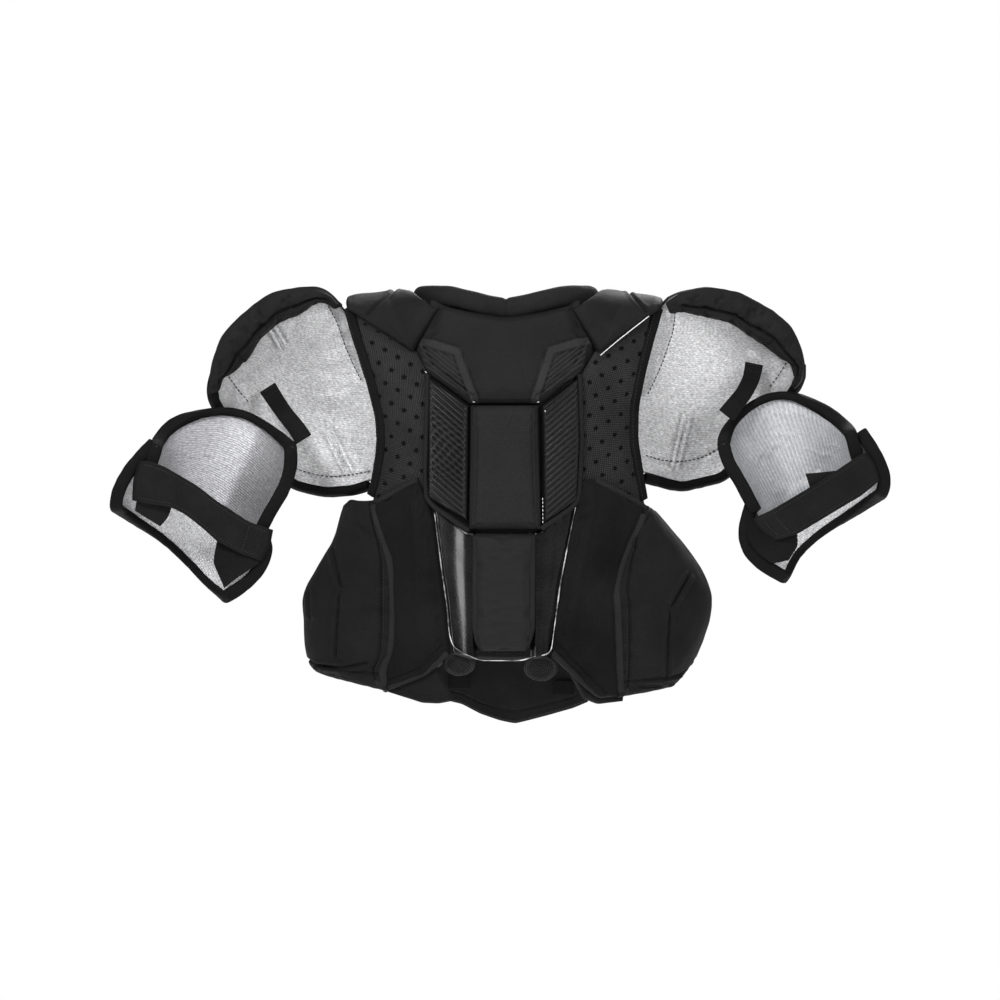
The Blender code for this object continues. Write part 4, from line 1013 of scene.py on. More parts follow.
def spine_detail(x, z, u, v):
    w = 0.0784
    d = np.minimum(u, 1 - u) * w
    h = groove(d - 0.0060, 0.0009, 0.0011) + groove(d - 0.0026, 0.0008, 0.0004)
    su, sv = x / SHEET, z / SHEET
    dots = np.cos(2 * np.pi * su / 2.4) * np.cos(2 * np.pi * sv / 2.4)
    return h + 0.00030 * dots * smooth(0.007, 0.009, d) + 0.0005 * noise(x, z, 0.035, 21)


soft_pad("upper_spine", "vest", spine_cloth, BACK, Patch(*SPINE, r=0.001), -0.011, -0.0005, 0.0042, 0.0009, 5.0,
         spine_detail, replaces="upper_spine_pad", slot="upper_spine_pad", roll=0.006, bulge=0.0012, fill=0.85,
         sim=dict(pressure=2.0, grow=0.008, limit=0.002))

LOW_SPINE = ([(471.5, 534.5), (536.5, 534.5)], [(536.5, 534.5), (536, 628), (531, 645), (526, 651)],
             [(481, 651), (526, 651)], [(471.5, 534.5), (471, 628), (475, 645), (481, 651)])


def low_spine_detail(x, z, u, v):
    w = 0.073
    d = np.minimum(u, 1 - u) * w
    h = groove(d - 0.0045, 0.0009, 0.0010)
    lines = noise(0.35 * x + 3.1, z, 0.0046, 31) + 0.6 * noise(0.25 * x, z + 0.5, 0.0027, 32)
    return h + 0.00095 * lines * smooth(0.006, 0.012, d) + 0.0007 * noise(x, z, 0.04, 33)


soft_pad("lower_spine_cushion", "lower_spine", spine_cloth, BACK, Patch(*LOW_SPINE, r=0.003), -0.0074, -0.0010, 0.0030,
         0.0010, 4.0, low_spine_detail, replaces="lower_spine_pad", slot="lower_spine_pad", roll=0.006, fill=0.8,
         sim=dict(pressure=2.0, grow=0.02, limit=0.003))

PLATE = ([(432, 509), (466, 533.5), (541, 533.5), (576, 507)], [(576, 507), (571, 537), (562, 583), (556, 623), (551, 654)],
         [(451, 654), (470, 659), (507, 660), (537, 659), (551, 654)], [(432, 509), (438, 553), (446, 604), (448.5, 631), (451, 654)])


def plate_detail(x, z, u, v):
    su = x / SHEET + MIDLINE
    sv = DATUM - z / SHEET
    left_edge = 435 + 15 * smooth(510, 650, sv)
    right_edge = 575 - 21 * smooth(510, 650, sv)
    l = np.clip((su - left_edge) / (468 - left_edge), 0, 1)
    r = np.clip((right_edge - su) / (right_edge - 539), 0, 1)
    low = smooth(555, 650, sv)
    start, stop = 452.0 + 6.0 * low, 466.0 + 1.5 * low

    def past(a):
        return 1.1 * np.logaddexp(0.0, (su - a) / 1.1)
    facet = SHEET * (0.06 * past(left_edge) + 0.12 * past(start - 1) + 0.13 * past(start + 3.0) - 0.41 * past(stop))
    rise = facet * (su < 500) + 0.0040 * smooth(0.10, 0.95, r) * (su >= 500)
    rise = rise + 0.0008 * np.exp(-((r - 0.35) / 0.16) ** 2) * (su >= 500)
    mid = smooth(471.5, 477, su) * smooth(536.5, 531, su)
    return rise * (1 - mid) - 0.0025 * mid + 0.0001 * noise(x, z, 0.02, 41)


pu, pv = mesh_uv(110, 110)
plate_patch = Patch(*PLATE, r=0.002)
pq = plate_patch.at(pu, pv)
px_, pz_ = pq[..., 0], pq[..., 1]
ph = -0.0080 + plate_detail(px_, pz_, pu, pv)
pedge = np.minimum(np.minimum(pu, 1 - pu), np.minimum(pv, 1 - pv))
slab("lower_spine_shell", "lower_spine", gloss, BACK(px_, pz_, ph - 0.0008 * (1 - smooth(0, 0.012, pedge))),
     BACK(px_, pz_, -0.011 + 0 * px_), None, 0.0004, 2, None, "lower_spine_plate", "lower_spine_plate")

# thin pale piping round the plate
PIPE = [(433, 513), (437, 545), (441, 575), (446, 608), (448, 634), (452, 647), (466, 655), (480, 660.5), (522, 660.5),
        (534, 656.5), (546, 655), (552, 652), (556, 623), (561.5, 583), (571, 536), (576, 512), (578.5, 501)]
path, normal = track(BACK, PIPE, -0.0048, 260, 0.004)
rad = 0.00056 + 0.00026 * noise(np.linspace(0, 1, 260) * 0.5, np.zeros(260), 0.009, 5)
sweep("spine_piping", "lower_spine", piping, path, across_of(path, normal), rad, rad, 8, 2.0, replaces="spine_plate_piping",
      slot="spine_plate_piping")

# ---- lower back pads
LOWER_L = ([(360, 505), (383, 496), (415, 478)], [(415, 478), (425, 502), (431, 523), (438, 577), (445, 628), (446, 655)],
           [(379, 693), (424, 676), (446, 655)], [(360, 505), (375, 538), (384, 562), (384, 641), (381, 668), (379, 693)])
LOWER_R = ([(582, 481), (597, 479), (620, 490), (655, 507)], [(655, 507), (646, 519), (635, 545), (627, 573), (623, 600), (625, 657), (628, 697)],
           [(553, 653), (585, 686), (600, 699), (628, 697)], [(582, 481), (574, 518), (563, 583), (556, 623), (553, 653)])


def lower_detail(ridge, border, seed):
    def detail(x, z, u, v):
        d, _ = to_path(x, z, ridge)
        h = 0.0018 * np.exp(-(d / 0.0055) ** 2) + groove(d - 0.0085, 0.0011, 0.0007)
        b, _ = to_path(x, z, border)
        h = h + groove(b - 0.0112, 0.0009, 0.0013) + 0.0007 * smooth(0.0112, 0.009, b)
        return h + 0.0008 * noise(x, z, 0.03, seed) + 0.0003 * noise(x, z, 0.009, seed + 1)
    return detail


soft_pad("left_lower_back", "vest", loop, BACK, Patch(*LOWER_L, r=0.003), -0.011, -0.0035, 0.0010, 0.0014, 5.0,
         lower_detail([(418, 487), (418, 540), (420, 600), (424, 640), (432, 655)], [(383, 692), (424, 676), (446, 655)], 51),
         replaces="left_lower_back_pad", slot="left_lower_back_pad", roll=0.006, fill=0.7,
         sim=dict(pressure=2.0, grow=0.022, limit=0.0035))
soft_pad("right_lower_back", "vest", loop, BACK, Patch(*LOWER_R, r=0.003), -0.011, -0.0035, 0.0010, 0.0014, 5.0,
         lower_detail([(590, 492), (583, 540), (573, 590), (568, 640), (562, 655)], [(553, 653), (585, 686), (600, 699)], 55),
         replaces="right_lower_back_pad", slot="right_lower_back_pad", roll=0.006, fill=0.7,
         sim=dict(pressure=2.0, grow=0.022, limit=0.0035))

for word, line in (("left", [(415, 480), (390, 494), (366, 507), (378, 537), (388, 562), (388, 641), (385, 668), (384, 689), (424, 673), (446, 653)]),
                   ("right", [(597, 481), (622, 493), (649, 508), (640, 520), (629, 548), (619, 575), (618, 600), (620, 657), (622, 692), (600, 696), (585, 683), (554, 653)])):
    path, normal = track(BACK, line, -0.0030, 300, 0.005)
    sweep(word + "_lower_back_border", "vest", border_cloth, path, across_of(path, normal), 0.0034, 0.0026, 14, 2.3, wob=0.06, seed=57)

# ---- kidney pads and spine tabs
KID_L = ([(377, 687), (405, 676), (431, 664)], [(431, 664), (439, 681), (446, 692), (450, 700.5)], [(380, 692), (416, 703), (434, 703.5), (450, 700.5)], [(377, 687), (380, 692)])
KID_R = ([(568, 662), (585, 679), (600, 692), (630, 691)], [(630, 691), (629, 702)], [(589, 699), (604, 704.5), (629, 702)], [(568, 662), (578, 681), (589, 699)])


def kid(name, shape, line, node, seed):
    soft_pad(name, "vest", wrap_cloth, BACK, Patch(*shape, r=0.002), -0.014, -0.0095, -0.0065, 0.0014, 4.0,
             lambda x, z, u, v: groove(to_path(x, z, line)[0] - 0.009, 0.0009, 0.0011) + 0.0005 * noise(x, z, 0.02, seed),
             replaces=node, slot=node, roll=0.004, fill=0.6)


kid("left_kidney", KID_L, [(380, 692), (416, 703), (450, 700.5)], "left_kidney_pad", 61)
kid("right_kidney", KID_R, [(589, 699), (604, 704.5), (629, 702)], "right_kidney_pad", 63)


def spine_tab(name, centre, ru, rv, tilt, node):
    """A small round-ended tab of coarse mesh with a bound rim."""
    nu, nv = 46, 46
    a, b = mesh_uv(nu, nv)
    s, t = 2 * a - 1, 2 * b - 1
    dx, dy = s * np.sqrt(1 - t * t / 2), t * np.sqrt(1 - s * s / 2)
    c, sn = math.cos(tilt), math.sin(tilt)
    su = centre[0] + ru * (dx * c - dy * sn)
    sv = centre[1] + rv * (dx * sn + dy * c)
    x, z = (su - MIDLINE) * SHEET, (DATUM - sv) * SHEET
    r = np.sqrt(np.clip(dx * dx + dy * dy, 0, 1))
    # the pit mask sets the depth of the holes and the painted shade inside them
    pit = (0.5 + 0.5 * np.cos(2 * np.pi * su / 3.4) * np.cos(2 * np.pi * sv / 3.4)) * smooth(0.80, 0.70, r)
    h = -0.0128 + 0.0012 * np.exp(-((r - 0.87) / 0.09) ** 2) - 0.0006 * pit
    slab(name, "vest", perforated, BACK(x, z, h), BACK(x, z, -0.0165 + 0 * x), None, 0.0004, 1, {"pit": pit}, node, node, 0.4)


spine_tab("left_tab", (456, 664), 17, 12, 0.25, "left_spine_tab")
spine_tab("right_tab", (543, 668), 18, 13, -0.3, "right_spine_tab")

tacks = []
for a, b, h in (((423.5, 370.5), (428.5, 374), 0.0004), ((470.5, 401.5), (477, 402.8), -0.0010), ((535.5, 402.8), (541, 401.5), -0.0010),
                ((543.5, 408.5), (547.5, 414), -0.0030), ((581, 477), (580.6, 495), -0.0052), ((543, 497), (543.2, 524), -0.0036)):
    tacks.append(track(BACK, [a, b], h, 12, 0.0))
stitches("pale_bar_tacks", "vest", grey_thread, tacks, 0.0042, 0.0026, 0.00045, 0.0003)

# ---- armhole bindings
ARMHOLE_L = [(346, 306), (354, 340), (367, 384), (375, 420), (376, 444), (370, 481), (365, 496)]
ARMHOLE_R = [(661, 306), (656, 326), (645, 373), (639, 409), (639, 441), (646, 479), (650, 500)]
for side, edge in (("left", ARMHOLE_L), ("right", ARMHOLE_R)):
    path, normal = track(BACK, edge, -0.0105, 150, 0.006)
    sweep(side + "_armhole_tape", "vest", tape, path, across_of(path, normal), 0.0060, 0.0034, 16, 3.0,
          replaces=side + "_armhole_binding", slot=side + "_armhole_binding", wob=0.05, seed=3)
    w = across_of(path, normal)
    s = 1 if side == "left" else -1
    seam = path + normal * 0.0030
    stitches(side + "_armhole_stitch", "vest", faint_thread,
             [(seam + w * 0.0030, normal)], pitch=0.0040, length=0.0026, r=0.0003)

# ================================================================= shoulder yokes
YOKE_FRONT_Z, YOKE_T = -0.034, 0.010


def yoke(name, low_edge, crest_out, crest_in, z_out, z_in, seam, node, seed):
    edge = Line(rounded(sheet(low_edge), 0.0008))

    def fold(u, w, h):
        q = edge.at(u)
        xc = crest_out + (crest_in - crest_out) * u
        zc = z_out + (z_in - z_out) * u + h
        b = BACK(q[..., 0], q[..., 1], h - 0.001)
        f = CHEST(xc, YOKE_FRONT_Z + 0 * xc, h - 0.001)
        a = np.pi * w
        sa, ca = np.sin(a), np.cos(a)
        back = np.stack([xc + (b[..., 0] - xc) * (1 - sa), b[..., 1] * ca, b[..., 2] + (zc - b[..., 2]) * sa], -1)
        front = np.stack([xc + (f[..., 0] - xc) * (1 - sa), -f[..., 1] * ca, f[..., 2] + (zc - f[..., 2]) * sa], -1)
        return np.where((w <= 0.5)[..., None], back, front)

    def height(u, w, fine):
        e = np.minimum(np.minimum(u, 1 - u) * 0.085, np.minimum(w, 1 - w) * 0.19)
        turn = np.sqrt(np.clip(1 - (1 - np.clip(e / 0.005, 0, 1)) ** 2, 0, 1))
        h = -0.0045 + 0.0045 * turn
        if fine:
            p = fold(u, w, -0.002 + 0 * u)
            d, _ = to_path(p[..., 0], p[..., 2], seam)
            p = fold(u, 1 - w, -0.002 + 0 * u)
            e, _ = to_path(p[..., 0], p[..., 2], seam)
            d = np.where(w <= 0.5, d, e)
            h = h + groove(d, 0.0012, 0.0022) + 0.0009 * np.exp(-((d - 0.0032) / 0.0016) ** 2)
            h = h + 0.0006 * noise(u * 0.085 + seed, w * 0.19, 0.022, seed)
        return h
    nu, nv = 74, 150
    u, w = mesh_uv(nu, nv)
    outer = fold(u, w, height(u, w, True))
    inner = fold(u, w, -YOKE_T + 0 * u)
    cu, cw = mesh_uv(18, 36)
    d = billow(fold(cu, cw, height(cu, cw, False)), fold(cu, cw, -YOKE_T + 0 * cu), pressure=1.0, grow=0.004, limit=0.0015)
    ob = slab(name, "vest", yoke_nylon, outer + grow_to(d, nu, nv), inner, lining_dark, 0.0012, 2, None, node, node, 0.8)
    return fold


fold_l = yoke("left_yoke", [(346, 308), (411, 350), (438, 308)], -0.180, -0.106, 0.0062, 0.0135, [(400, 286), (383, 302), (367, 315)], "left_shoulder_yoke", 71)
fold_r = yoke("right_yoke", [(661, 308), (600, 351), (572, 308)], 0.177, 0.106, 0.0045, 0.0135, [(626, 288), (636, 302), (647, 313)], "right_shoulder_yoke", 75)
line_r = [(601.5, 354.5), (612, 345.5), (621, 338), (633, 328.5), (649, 316)]
path, normal = track(BACK, line_r, np.interp(np.linspace(0, 1, 90), [0, 0.12, 0.3, 1], [-0.0046, -0.0030, -0.0014, -0.0004]), 90, 0.003)
sweep("right_yoke_pale_cord", "vest", pale_cord, path, across_of(path, normal), 0.00048, 0.00048, 8, 2.0)

# ================================================================= neck roll
ROLL_PATH = [(0.0, -0.0765, -0.0095), (0.020, -0.0762, -0.0064), (0.040, -0.0742, -0.0010), (0.062, -0.067, 0.0042),
             (0.080, -0.052, 0.0052), (0.0925, -0.030, 0.0050), (0.0945, -0.004, 0.0045), (0.089, 0.022, -0.003),
             (0.079, 0.042, -0.013), (0.068, 0.055, -0.025)]


def neck_roll(side, name, node, seed):
    p = rounded(np.array([(side * x, y, z) for x, y, z in ROLL_PATH]), 0.008)
    line = Line(p)
    nu, k = 150, 44

    def ring(nu, k, detail):
        u = np.linspace(0, 1, nu)
        c = line.at(u)
        d = np.gradient(c, axis=0)
        d[:, 2] = 0
        d = unit(d)
        flat = np.stack([d[:, 1], -d[:, 0], np.zeros(nu)], -1) * side
        th = np.linspace(0, 2 * np.pi, k, endpoint=False)
        rx, rz = 0.0112, 0.0122
        cc, ss = np.cos(th), np.sin(th)
        cc = np.sign(cc) * np.abs(cc) ** 0.85
        ss = np.sign(ss) * np.abs(ss) ** 0.9
        f = np.ones((nu, k))
        if detail:
            run = u[:, None] * line.length
            f = f + 0.025 * noise(run + 0 * th[None], th[None] * 0.01 + 0 * run, 0.016, seed)
            f = f - 0.10 * np.exp(-((u[:, None]) / 0.012) ** 2)
        return (c[:, None] + flat[:, None] * (rx * cc[None, :, None] * f[..., None])
                + np.array([0, 0, 1.0]) * (rz * ss[None, :, None] * f[..., None]))
    v = ring(nu, k, True)
    idx = np.arange(nu * k).reshape(nu, k)
    nxt = np.roll(idx, -1, 1)
    q = np.stack([idx[:-1], idx[1:], nxt[1:], nxt[:-1]], -1).reshape(-1, 4)
    verts = v.reshape(-1, 3)
    e0, e1 = len(verts), len(verts) + 1
    verts = np.concatenate([verts, [v[0].mean(0)], [v[-1].mean(0)]])
    tris = np.concatenate([np.stack([idx[0], nxt[0], np.full(k, e0)], -1), np.stack([nxt[-1], idx[-1], np.full(k, e1)], -1)])
    if signed_volume(verts, q) < 0:
        q, tris = q[:, ::-1], tris[:, ::-1]
    run = np.linspace(0, line.length, nu)
    uv = np.stack([run[:, None] + np.zeros((1, k)), np.linspace(0, 0.07, k)[None] + np.zeros((nu, 1))], -1).reshape(-1, 2)
    uv = np.concatenate([uv, [[0, 0], [0, 0]]])
    ob = new_mesh(name, verts, q, uv, [knit], None, None, 60, tris)
    settle(ob, "vest", node, node, 0.7)


neck_roll(-1, "left_neck_roll", "left_collar_roll", 81)
neck_roll(1, "right_neck_roll", "right_collar_roll", 85)
# binding cord where the neck roll meets the upper back pad
path, normal = track(BACK, [(438, 306.5), (471, 313.5), (507, 318), (541, 313.5), (572, 306.5)], -0.0035, 120, 0.004)
sweep("neck_seam_welt", "vest", nylon, path, across_of(path, normal), 0.0011, 0.0011, 10, 2.0)

# ================================================================= side wraps
WRAP_REAR_L = [(690, 384), (671, 381), (657, 388), (641, 391), (564, 389), (542, 382), (505, 369)]
WRAP_SIL_L = [(690, 330), (675, 314), (663, 309), (620, 305), (593, 305), (572, 316), (537, 336), (510, 343), (498, 347)]
WRAP_REAR_R = [(698, 623), (663, 621), (609, 618), (588, 617), (545, 631), (517, 646), (505, 650)]
WRAP_SIL_R = [(700, 668), (691, 679), (676, 688), (641, 702), (612, 710), (590, 708), (569, 699), (542, 680), (511, 654)]
WRAP_T, WRAP_END = 0.010, math.radians(138)


def wrap_surface(side, rear, sil):
    rear_rows = sorted(((DATUM - v) * SHEET, (u - MIDLINE) * SHEET) for v, u in rear)
    sil_rows = sorted(((DATUM - v) * SHEET, (u - MIDLINE) * SHEET) for v, u in sil)
    top = 498 if side < 0 else 507

    def spot(u, v):
        a = WRAP_END * u
        high = (DATUM - (top + 6 * np.abs(u - 0.6))) * SHEET
        if side < 0:
            low = 691 - 17 * np.minimum(1.0, u / 0.6)
        else:
            low = 698 - 8 * np.minimum(1.0, u / 0.42) - 16 * smooth(0.42, 0.62, u)
        low = (DATUM - (low - 16 * np.maximum(0.0, u - 0.6))) * SHEET
        z = high + (low - high) * v
        xi = hermite(rear_rows, z) - side * 0.0048
        xs = hermite(sil_rows, z)
        yi = back_y(xi, z) - 0.0035
        yc = 0.004
        return np.stack([xi + (xs - xi) * np.sin(a), yc + (yi - yc) * np.cos(a), z], -1)

    def place(u, v, h):
        e = 0.008
        du = spot(np.minimum(1, u + e), v) - spot(np.maximum(0, u - e), v)
        dv = spot(u, np.minimum(1, v + e)) - spot(u, np.maximum(0, v - e))
        n = unit(np.cross(du, dv)) * (-side)
        return spot(u, v) + n * np.broadcast_to(h, u.shape)[..., None]
    return spot, place


def in_view(place, u, v, h):
    p = place(u, v, h)
    return p[..., 0], p[..., 2]


def wrap(side, word, rear, sil, seams, seed):
    spot, place = wrap_surface(side, rear, sil)
    lu, lv = 0.20, 0.205

    def height(u, v, fine):
        e = np.minimum(np.minimum(u, 1 - u) * lu, np.minimum(v, 1 - v) * lv)
        turn = np.sqrt(np.clip(1 - (1 - np.clip(e / 0.006, 0, 1)) ** 2, 0, 1))
        crown = np.sqrt((1 - np.abs(2 * u - 1) ** 5) * (1 - np.abs(2 * v - 1) ** 5))
        h = -0.0055 + 0.0035 * turn + 0.0020 * crown
        if fine:
            sx, sz = in_view(place, u, v, -0.002 + 0 * u)
            seen = smooth(0.66, 0.58, u)
            for line, width, depth in seams:
                d, f = to_path(sx, sz, line)
                ends = smooth(0.0, 0.12, f) * smooth(1.0, 0.88, f)
                h = h + (groove(d, width, 1.1 * depth) + 1.1 * depth * np.exp(-((d - 2.6 * width) / (1.5 * width)) ** 2)) * ends * seen
            # the rolled rear edge and its row of stitches, and the folded hem
            h = h + groove(u * lu - 0.0125, 0.0014, 0.0028) + groove((1 - v) * lv - 0.0165, 0.0017, 0.0028)
            h = h + groove((1 - v) * lv - 0.0075, 0.0010, 0.0006)
            h = h + 0.0009 * noise(u * lu, v * lv, 0.034, seed) + 0.0004 * noise(u * lu, v * lv, 0.011, seed + 1)
        return h
    nu, nv = 150, 150
    u, v = mesh_uv(nu, nv, 0.4)
    outer, inner = place(u, v, height(u, v, True)), place(u, v, -WRAP_T + 0 * u)
    cu, cv = mesh_uv(38, 38, 0.4)
    d = billow(place(cu, cv, height(cu, cv, False)), place(cu, cv, -WRAP_T + 0 * cu), pressure=1.8, grow=0.022, limit=0.0035)
    d = grow_to(d, nu, nv)
    slab(word + "_wrap_pad", word + "_wrap", wrap_cloth, outer + d, inner, lining_dark, 0.0016, 3, None,
         word + "_side_wrap", word + "_side_wrap", 0.75)
    t = np.linspace(0.0, 1.0, 160)
    c = np.concatenate([np.stack([0.016 + 0 * t, 0.02 + 0.955 * t], -1), np.stack([0.016 + 0.968 * t[1:], 0.975 + 0 * t[1:]], -1)])
    a0 = place(c[:, 0], c[:, 1], -0.0042 + 0 * c[:, 0])
    a1 = place(c[:, 0], c[:, 1], -0.0032 + 0 * c[:, 0])
    a0 = rounded(a0, 0.006)
    nn = unit(a1 - place(c[:, 0], c[:, 1], -0.0042 + 0 * c[:, 0]))
    s0 = np.linspace(0, 1, len(nn))
    nn = unit(np.stack([np.interp(np.linspace(0, 1, len(a0)), s0, nn[:, k]) for k in range(3)], -1))
    sweep(word + "_wrap_edge_roll", word + "_wrap", border_cloth, a0, across_of(a0, nn), 0.0050, 0.0036, 14, 2.3, n=300, wob=0.06, seed=seed)
    t = np.linspace(0.05, 0.95, 120)
    lines = []
    for off in (0.060, 0.068):
        p0, p1 = place(off + 0 * t, t, -0.0021 + 0 * t), place(off + 0 * t, t, 0 * t)
        lines.append((p0, unit(p1 - p0)))
    stitches(word + "_wrap_stitch", word + "_wrap", faint_thread, lines[:1], 0.0038, 0.0025, 0.00028, 0.0004)
    # the strap tab at the front end
    start = place(np.array([1.0]), np.array([0.5]), -0.005)[0]
    back = place(np.array([0.97]), np.array([0.5]), -0.005)[0]
    head = start - back
    head[2] = 0
    head = head / np.linalg.norm(head)
    out = np.array([-head[1], head[0], 0])
    a, b = mesh_uv(40, 44)
    base = start + head * (-0.004 + 0.0405 * a[..., None]) + np.array([0, 0, 1.0]) * (0.019 * (1 - 2 * b))[..., None]
    bend = 0.0012 * np.sin(np.pi * a) + 0.0003 * noise(a * 0.04, b * 0.04, 0.008, seed)
    base = base + out * bend[..., None]
    slab(word + "_wrap_tab", word + "_wrap", hook, base + out * 0.0012, base - out * 0.0012, None, 0.0003, 1, None,
         word + "_wrap_hook_tab", word + "_wrap_hook_tab")


wrap(-1, "left", WRAP_REAR_L, WRAP_SIL_L,
     [([(336, 548), (340, 566), (345, 590)], 0.0015, 0.0026), ([(343, 590), (341, 620), (339, 660)], 0.0014, 0.0020),
      ([(312, 664), (345, 666), (374, 661)], 0.0016, 0.0020), ([(313, 590), (314, 620)], 0.0014, 0.0016)], 91)
wrap(1, "right", WRAP_REAR_R, WRAP_SIL_R,
     [([(688, 574), (677, 592), (668, 608)], 0.0015, 0.0025), ([(668, 608), (665, 640), (664, 682)], 0.0014, 0.0020),
      ([(634, 686), (662, 685), (688, 679)], 0.0016, 0.0020)], 95)

# ================================================================= shoulder caps
def cap_height(cu, cv, au, av):
    cx, cz = (cu - MIDLINE) * SHEET, (DATUM - cv) * SHEET

    def y(x, z):
        return 0.025 - 0.070 * (((x - cx) / (au * SHEET)) ** 2 + ((z - cz) / (av * SHEET)) ** 2)
    return y


CAP_L = (
    [(247, 319), (271, 299), (296, 294), (318, 292), (331, 299)],
    [(331, 299), (347, 318), (354, 339), (362, 364), (372, 395), (376, 426), (376, 460), (371, 478)],
    [(226, 414), (257, 449), (292, 480), (323, 487), (352, 485), (371, 478)],
    [(247, 319), (230, 332), (221, 344), (214, 362), (210, 386), (226, 414)])
CAP_R = (
    [(674, 300), (684, 294), (709, 289), (740, 295), (772, 314)],
    [(772, 314), (790, 328), (801, 350), (805, 370), (800, 383), (785, 396)],
    [(642, 470), (683, 482), (722, 473), (752, 438), (785, 396)],
    [(672, 300), (656, 316), (650, 344), (641, 395), (637, 428), (638, 455), (642, 470)])
ROLL_L = ([(207, 392), (209, 372), (213, 356), (217, 340), (228, 326), (244, 311), (268, 292), (294, 287), (319, 285), (331, 292), (341, 304)],
          [(216, 386), (220, 376), (227, 372), (246, 356), (259, 335), (276, 321), (295, 313), (311, 303), (320, 298), (326, 299), (331, 304)])
ROLL_R = ([(667, 302), (680, 292), (709, 286), (743, 292), (775, 311), (793, 325), (804, 350), (808, 370), (805, 382), (799, 387)],
          [(671, 311), (682, 309), (709, 315), (732, 320), (754, 335), (776, 350), (794, 362), (798, 370), (798, 375), (796, 379)])


def cap(word, side, shape, roll, bowl, binding, creases, seams, sliver, hem, painted_light_spots, seed):
    body = word + "_cap"
    place = raised(cap_height(*bowl), -1)
    patch = Patch(*shape, r=0.005)
    lu = 0.5 * (patch.t.length + patch.b.length)
    lv = 0.5 * (patch.l.length + patch.r.length)

    def height(x, z, u, v, fine):
        h = 0 * x
        if fine:
            for line, width, depth in creases:
                d, f = to_path(x, z, line)
                h = h + groove(d, width, depth) * smooth(0, 0.1, f) * smooth(1, 0.9, f)
            for line in seams:
                d, f = to_path(x, z, line)
                h = h + groove(d, 0.0015, 0.0024) + 0.0015 * np.exp(-((d - 0.0036) / 0.0014) ** 2) * smooth(0, 0.08, f) * smooth(1, 0.95, f)
            d, _ = to_path(x, z, sliver)
            h = h - 0.0016 * smooth(0.0, 0.003, d) * outside(x, z, sliver, side)
            d, _ = to_path(x, z, hem)
            h = h + groove(d, 0.0018, 0.0014) - 0.0036 * smooth(0.07, 0.0, v)
            h = h + 0.0013 * noise(x, z, 0.030, seed) + 0.0007 * noise(x, z, 0.011, seed + 1) + 0.00025 * noise(x, z, 0.0042, seed + 2)
        return h
    nu, nv = int(lu / 0.0013), int(lv / 0.0013)
    u, v = mesh_uv(nu, nv)
    q = patch.at(u, v)
    x, z = q[..., 0], q[..., 1]
    # painted shade on the cap lining: darker beyond the sliver line, under the roll and in the seams
    shade = np.zeros_like(x)
    d, _ = to_path(x, z, sliver)
    shade = np.maximum(shade, 0.55 * outside(x, z, sliver, side))
    dr, _ = to_path(x, z, roll[1])
    shade = np.maximum(shade, 0.45 * np.exp(-(dr / 0.007) ** 2))
    for line in seams:
        dr, f = to_path(x, z, line)
        shade = np.maximum(shade, 0.75 * np.exp(-(dr / 0.0011) ** 2))
    # painted light on the cap lining: a painted highlight along each seam ridge with painted shade beyond it, and
    # painted light and shade spots
    nap = np.zeros_like(x)
    for line in seams:
        dr, f = to_path(x, z, line)
        open_end = smooth(0.0, 0.10, f) * smooth(1.0, 0.90, f)
        nap = nap + open_end * (0.50 * np.exp(-((dr - 0.0034) / 0.0015) ** 2) - 0.40 * np.exp(-((dr - 0.0068) / 0.0020) ** 2))
    for (pu_, pv_), (ru_, rv_), amount in painted_light_spots:
        nap = nap + amount * np.exp(-((x / SHEET + MIDLINE - pu_) / ru_) ** 2 - ((DATUM - z / SHEET - pv_) / rv_) ** 2)
    cu, cv = mesh_uv(int(lu / 0.006), int(lv / 0.006))
    cq = patch.at(cu, cv)
    o, i = place(cq[..., 0], cq[..., 1], 0 * cu), place(cq[..., 0], cq[..., 1], -0.004 + 0 * cu)
    dd = grow_to(billow(o, i, pressure=0.6, grow=0.018, limit=0.0035, frames=16), nu, nv)
    outer = place(x, z, height(x, z, u, v, True)) + dd
    lined = outer
    slab(word + "_cap_lining", body, silver_cap, outer, place(x, z, -0.0045 + 0 * x), None, 0.0004, 2, {"shade": shade, "nap": nap},
         word + "_cap_liner", word + "_cap_liner", 0.5)

    # outer cover, seen from the front: a domed pad with a sewn outline and a raised centre panel
    nu, nv = 110, 120
    u, v = mesh_uv(nu, nv, 0.4)
    q = patch.at(u, v)
    x, z = q[..., 0], q[..., 1]
    e = np.minimum(np.minimum(u, 1 - u) * lu, np.minimum(v, 1 - v) * lv)
    turn = np.sqrt(np.clip(1 - (1 - np.clip(e / 0.008, 0, 1)) ** 2, 0, 1))
    ring = np.maximum(np.abs(2 * u - 1), np.abs(2 * v - 1))
    plate = smooth(0.66, 0.58, ring)
    h = -(0.0065 + 0.0055 * turn + 0.0022 * plate) - groove(e - 0.013, 0.0014, 0.0016) - 0.0008 * noise(x, z, 0.03, seed + 5)
    h = h - 0.0008 * np.exp(-((ring - 0.72) / 0.02) ** 2) * -1
    slab(word + "_cap_cover", body, cover_cloth, place(x, z, h), place(x, z, -0.0048 + 0 * x), None, 0.0008, 2, None,
         word + "_cap_shell", word + "_cap_shell", 0.85)

    # the padded roll along the top
    o_, i_ = Line(rounded(sheet(roll[0]), 0.008)), Line(rounded(sheet(roll[1]), 0.005))

    def across(u, v, h):
        q = o_.at(u) + (i_.at(u) - o_.at(u)) * v[..., None]
        return place(q[..., 0], q[..., 1], h)

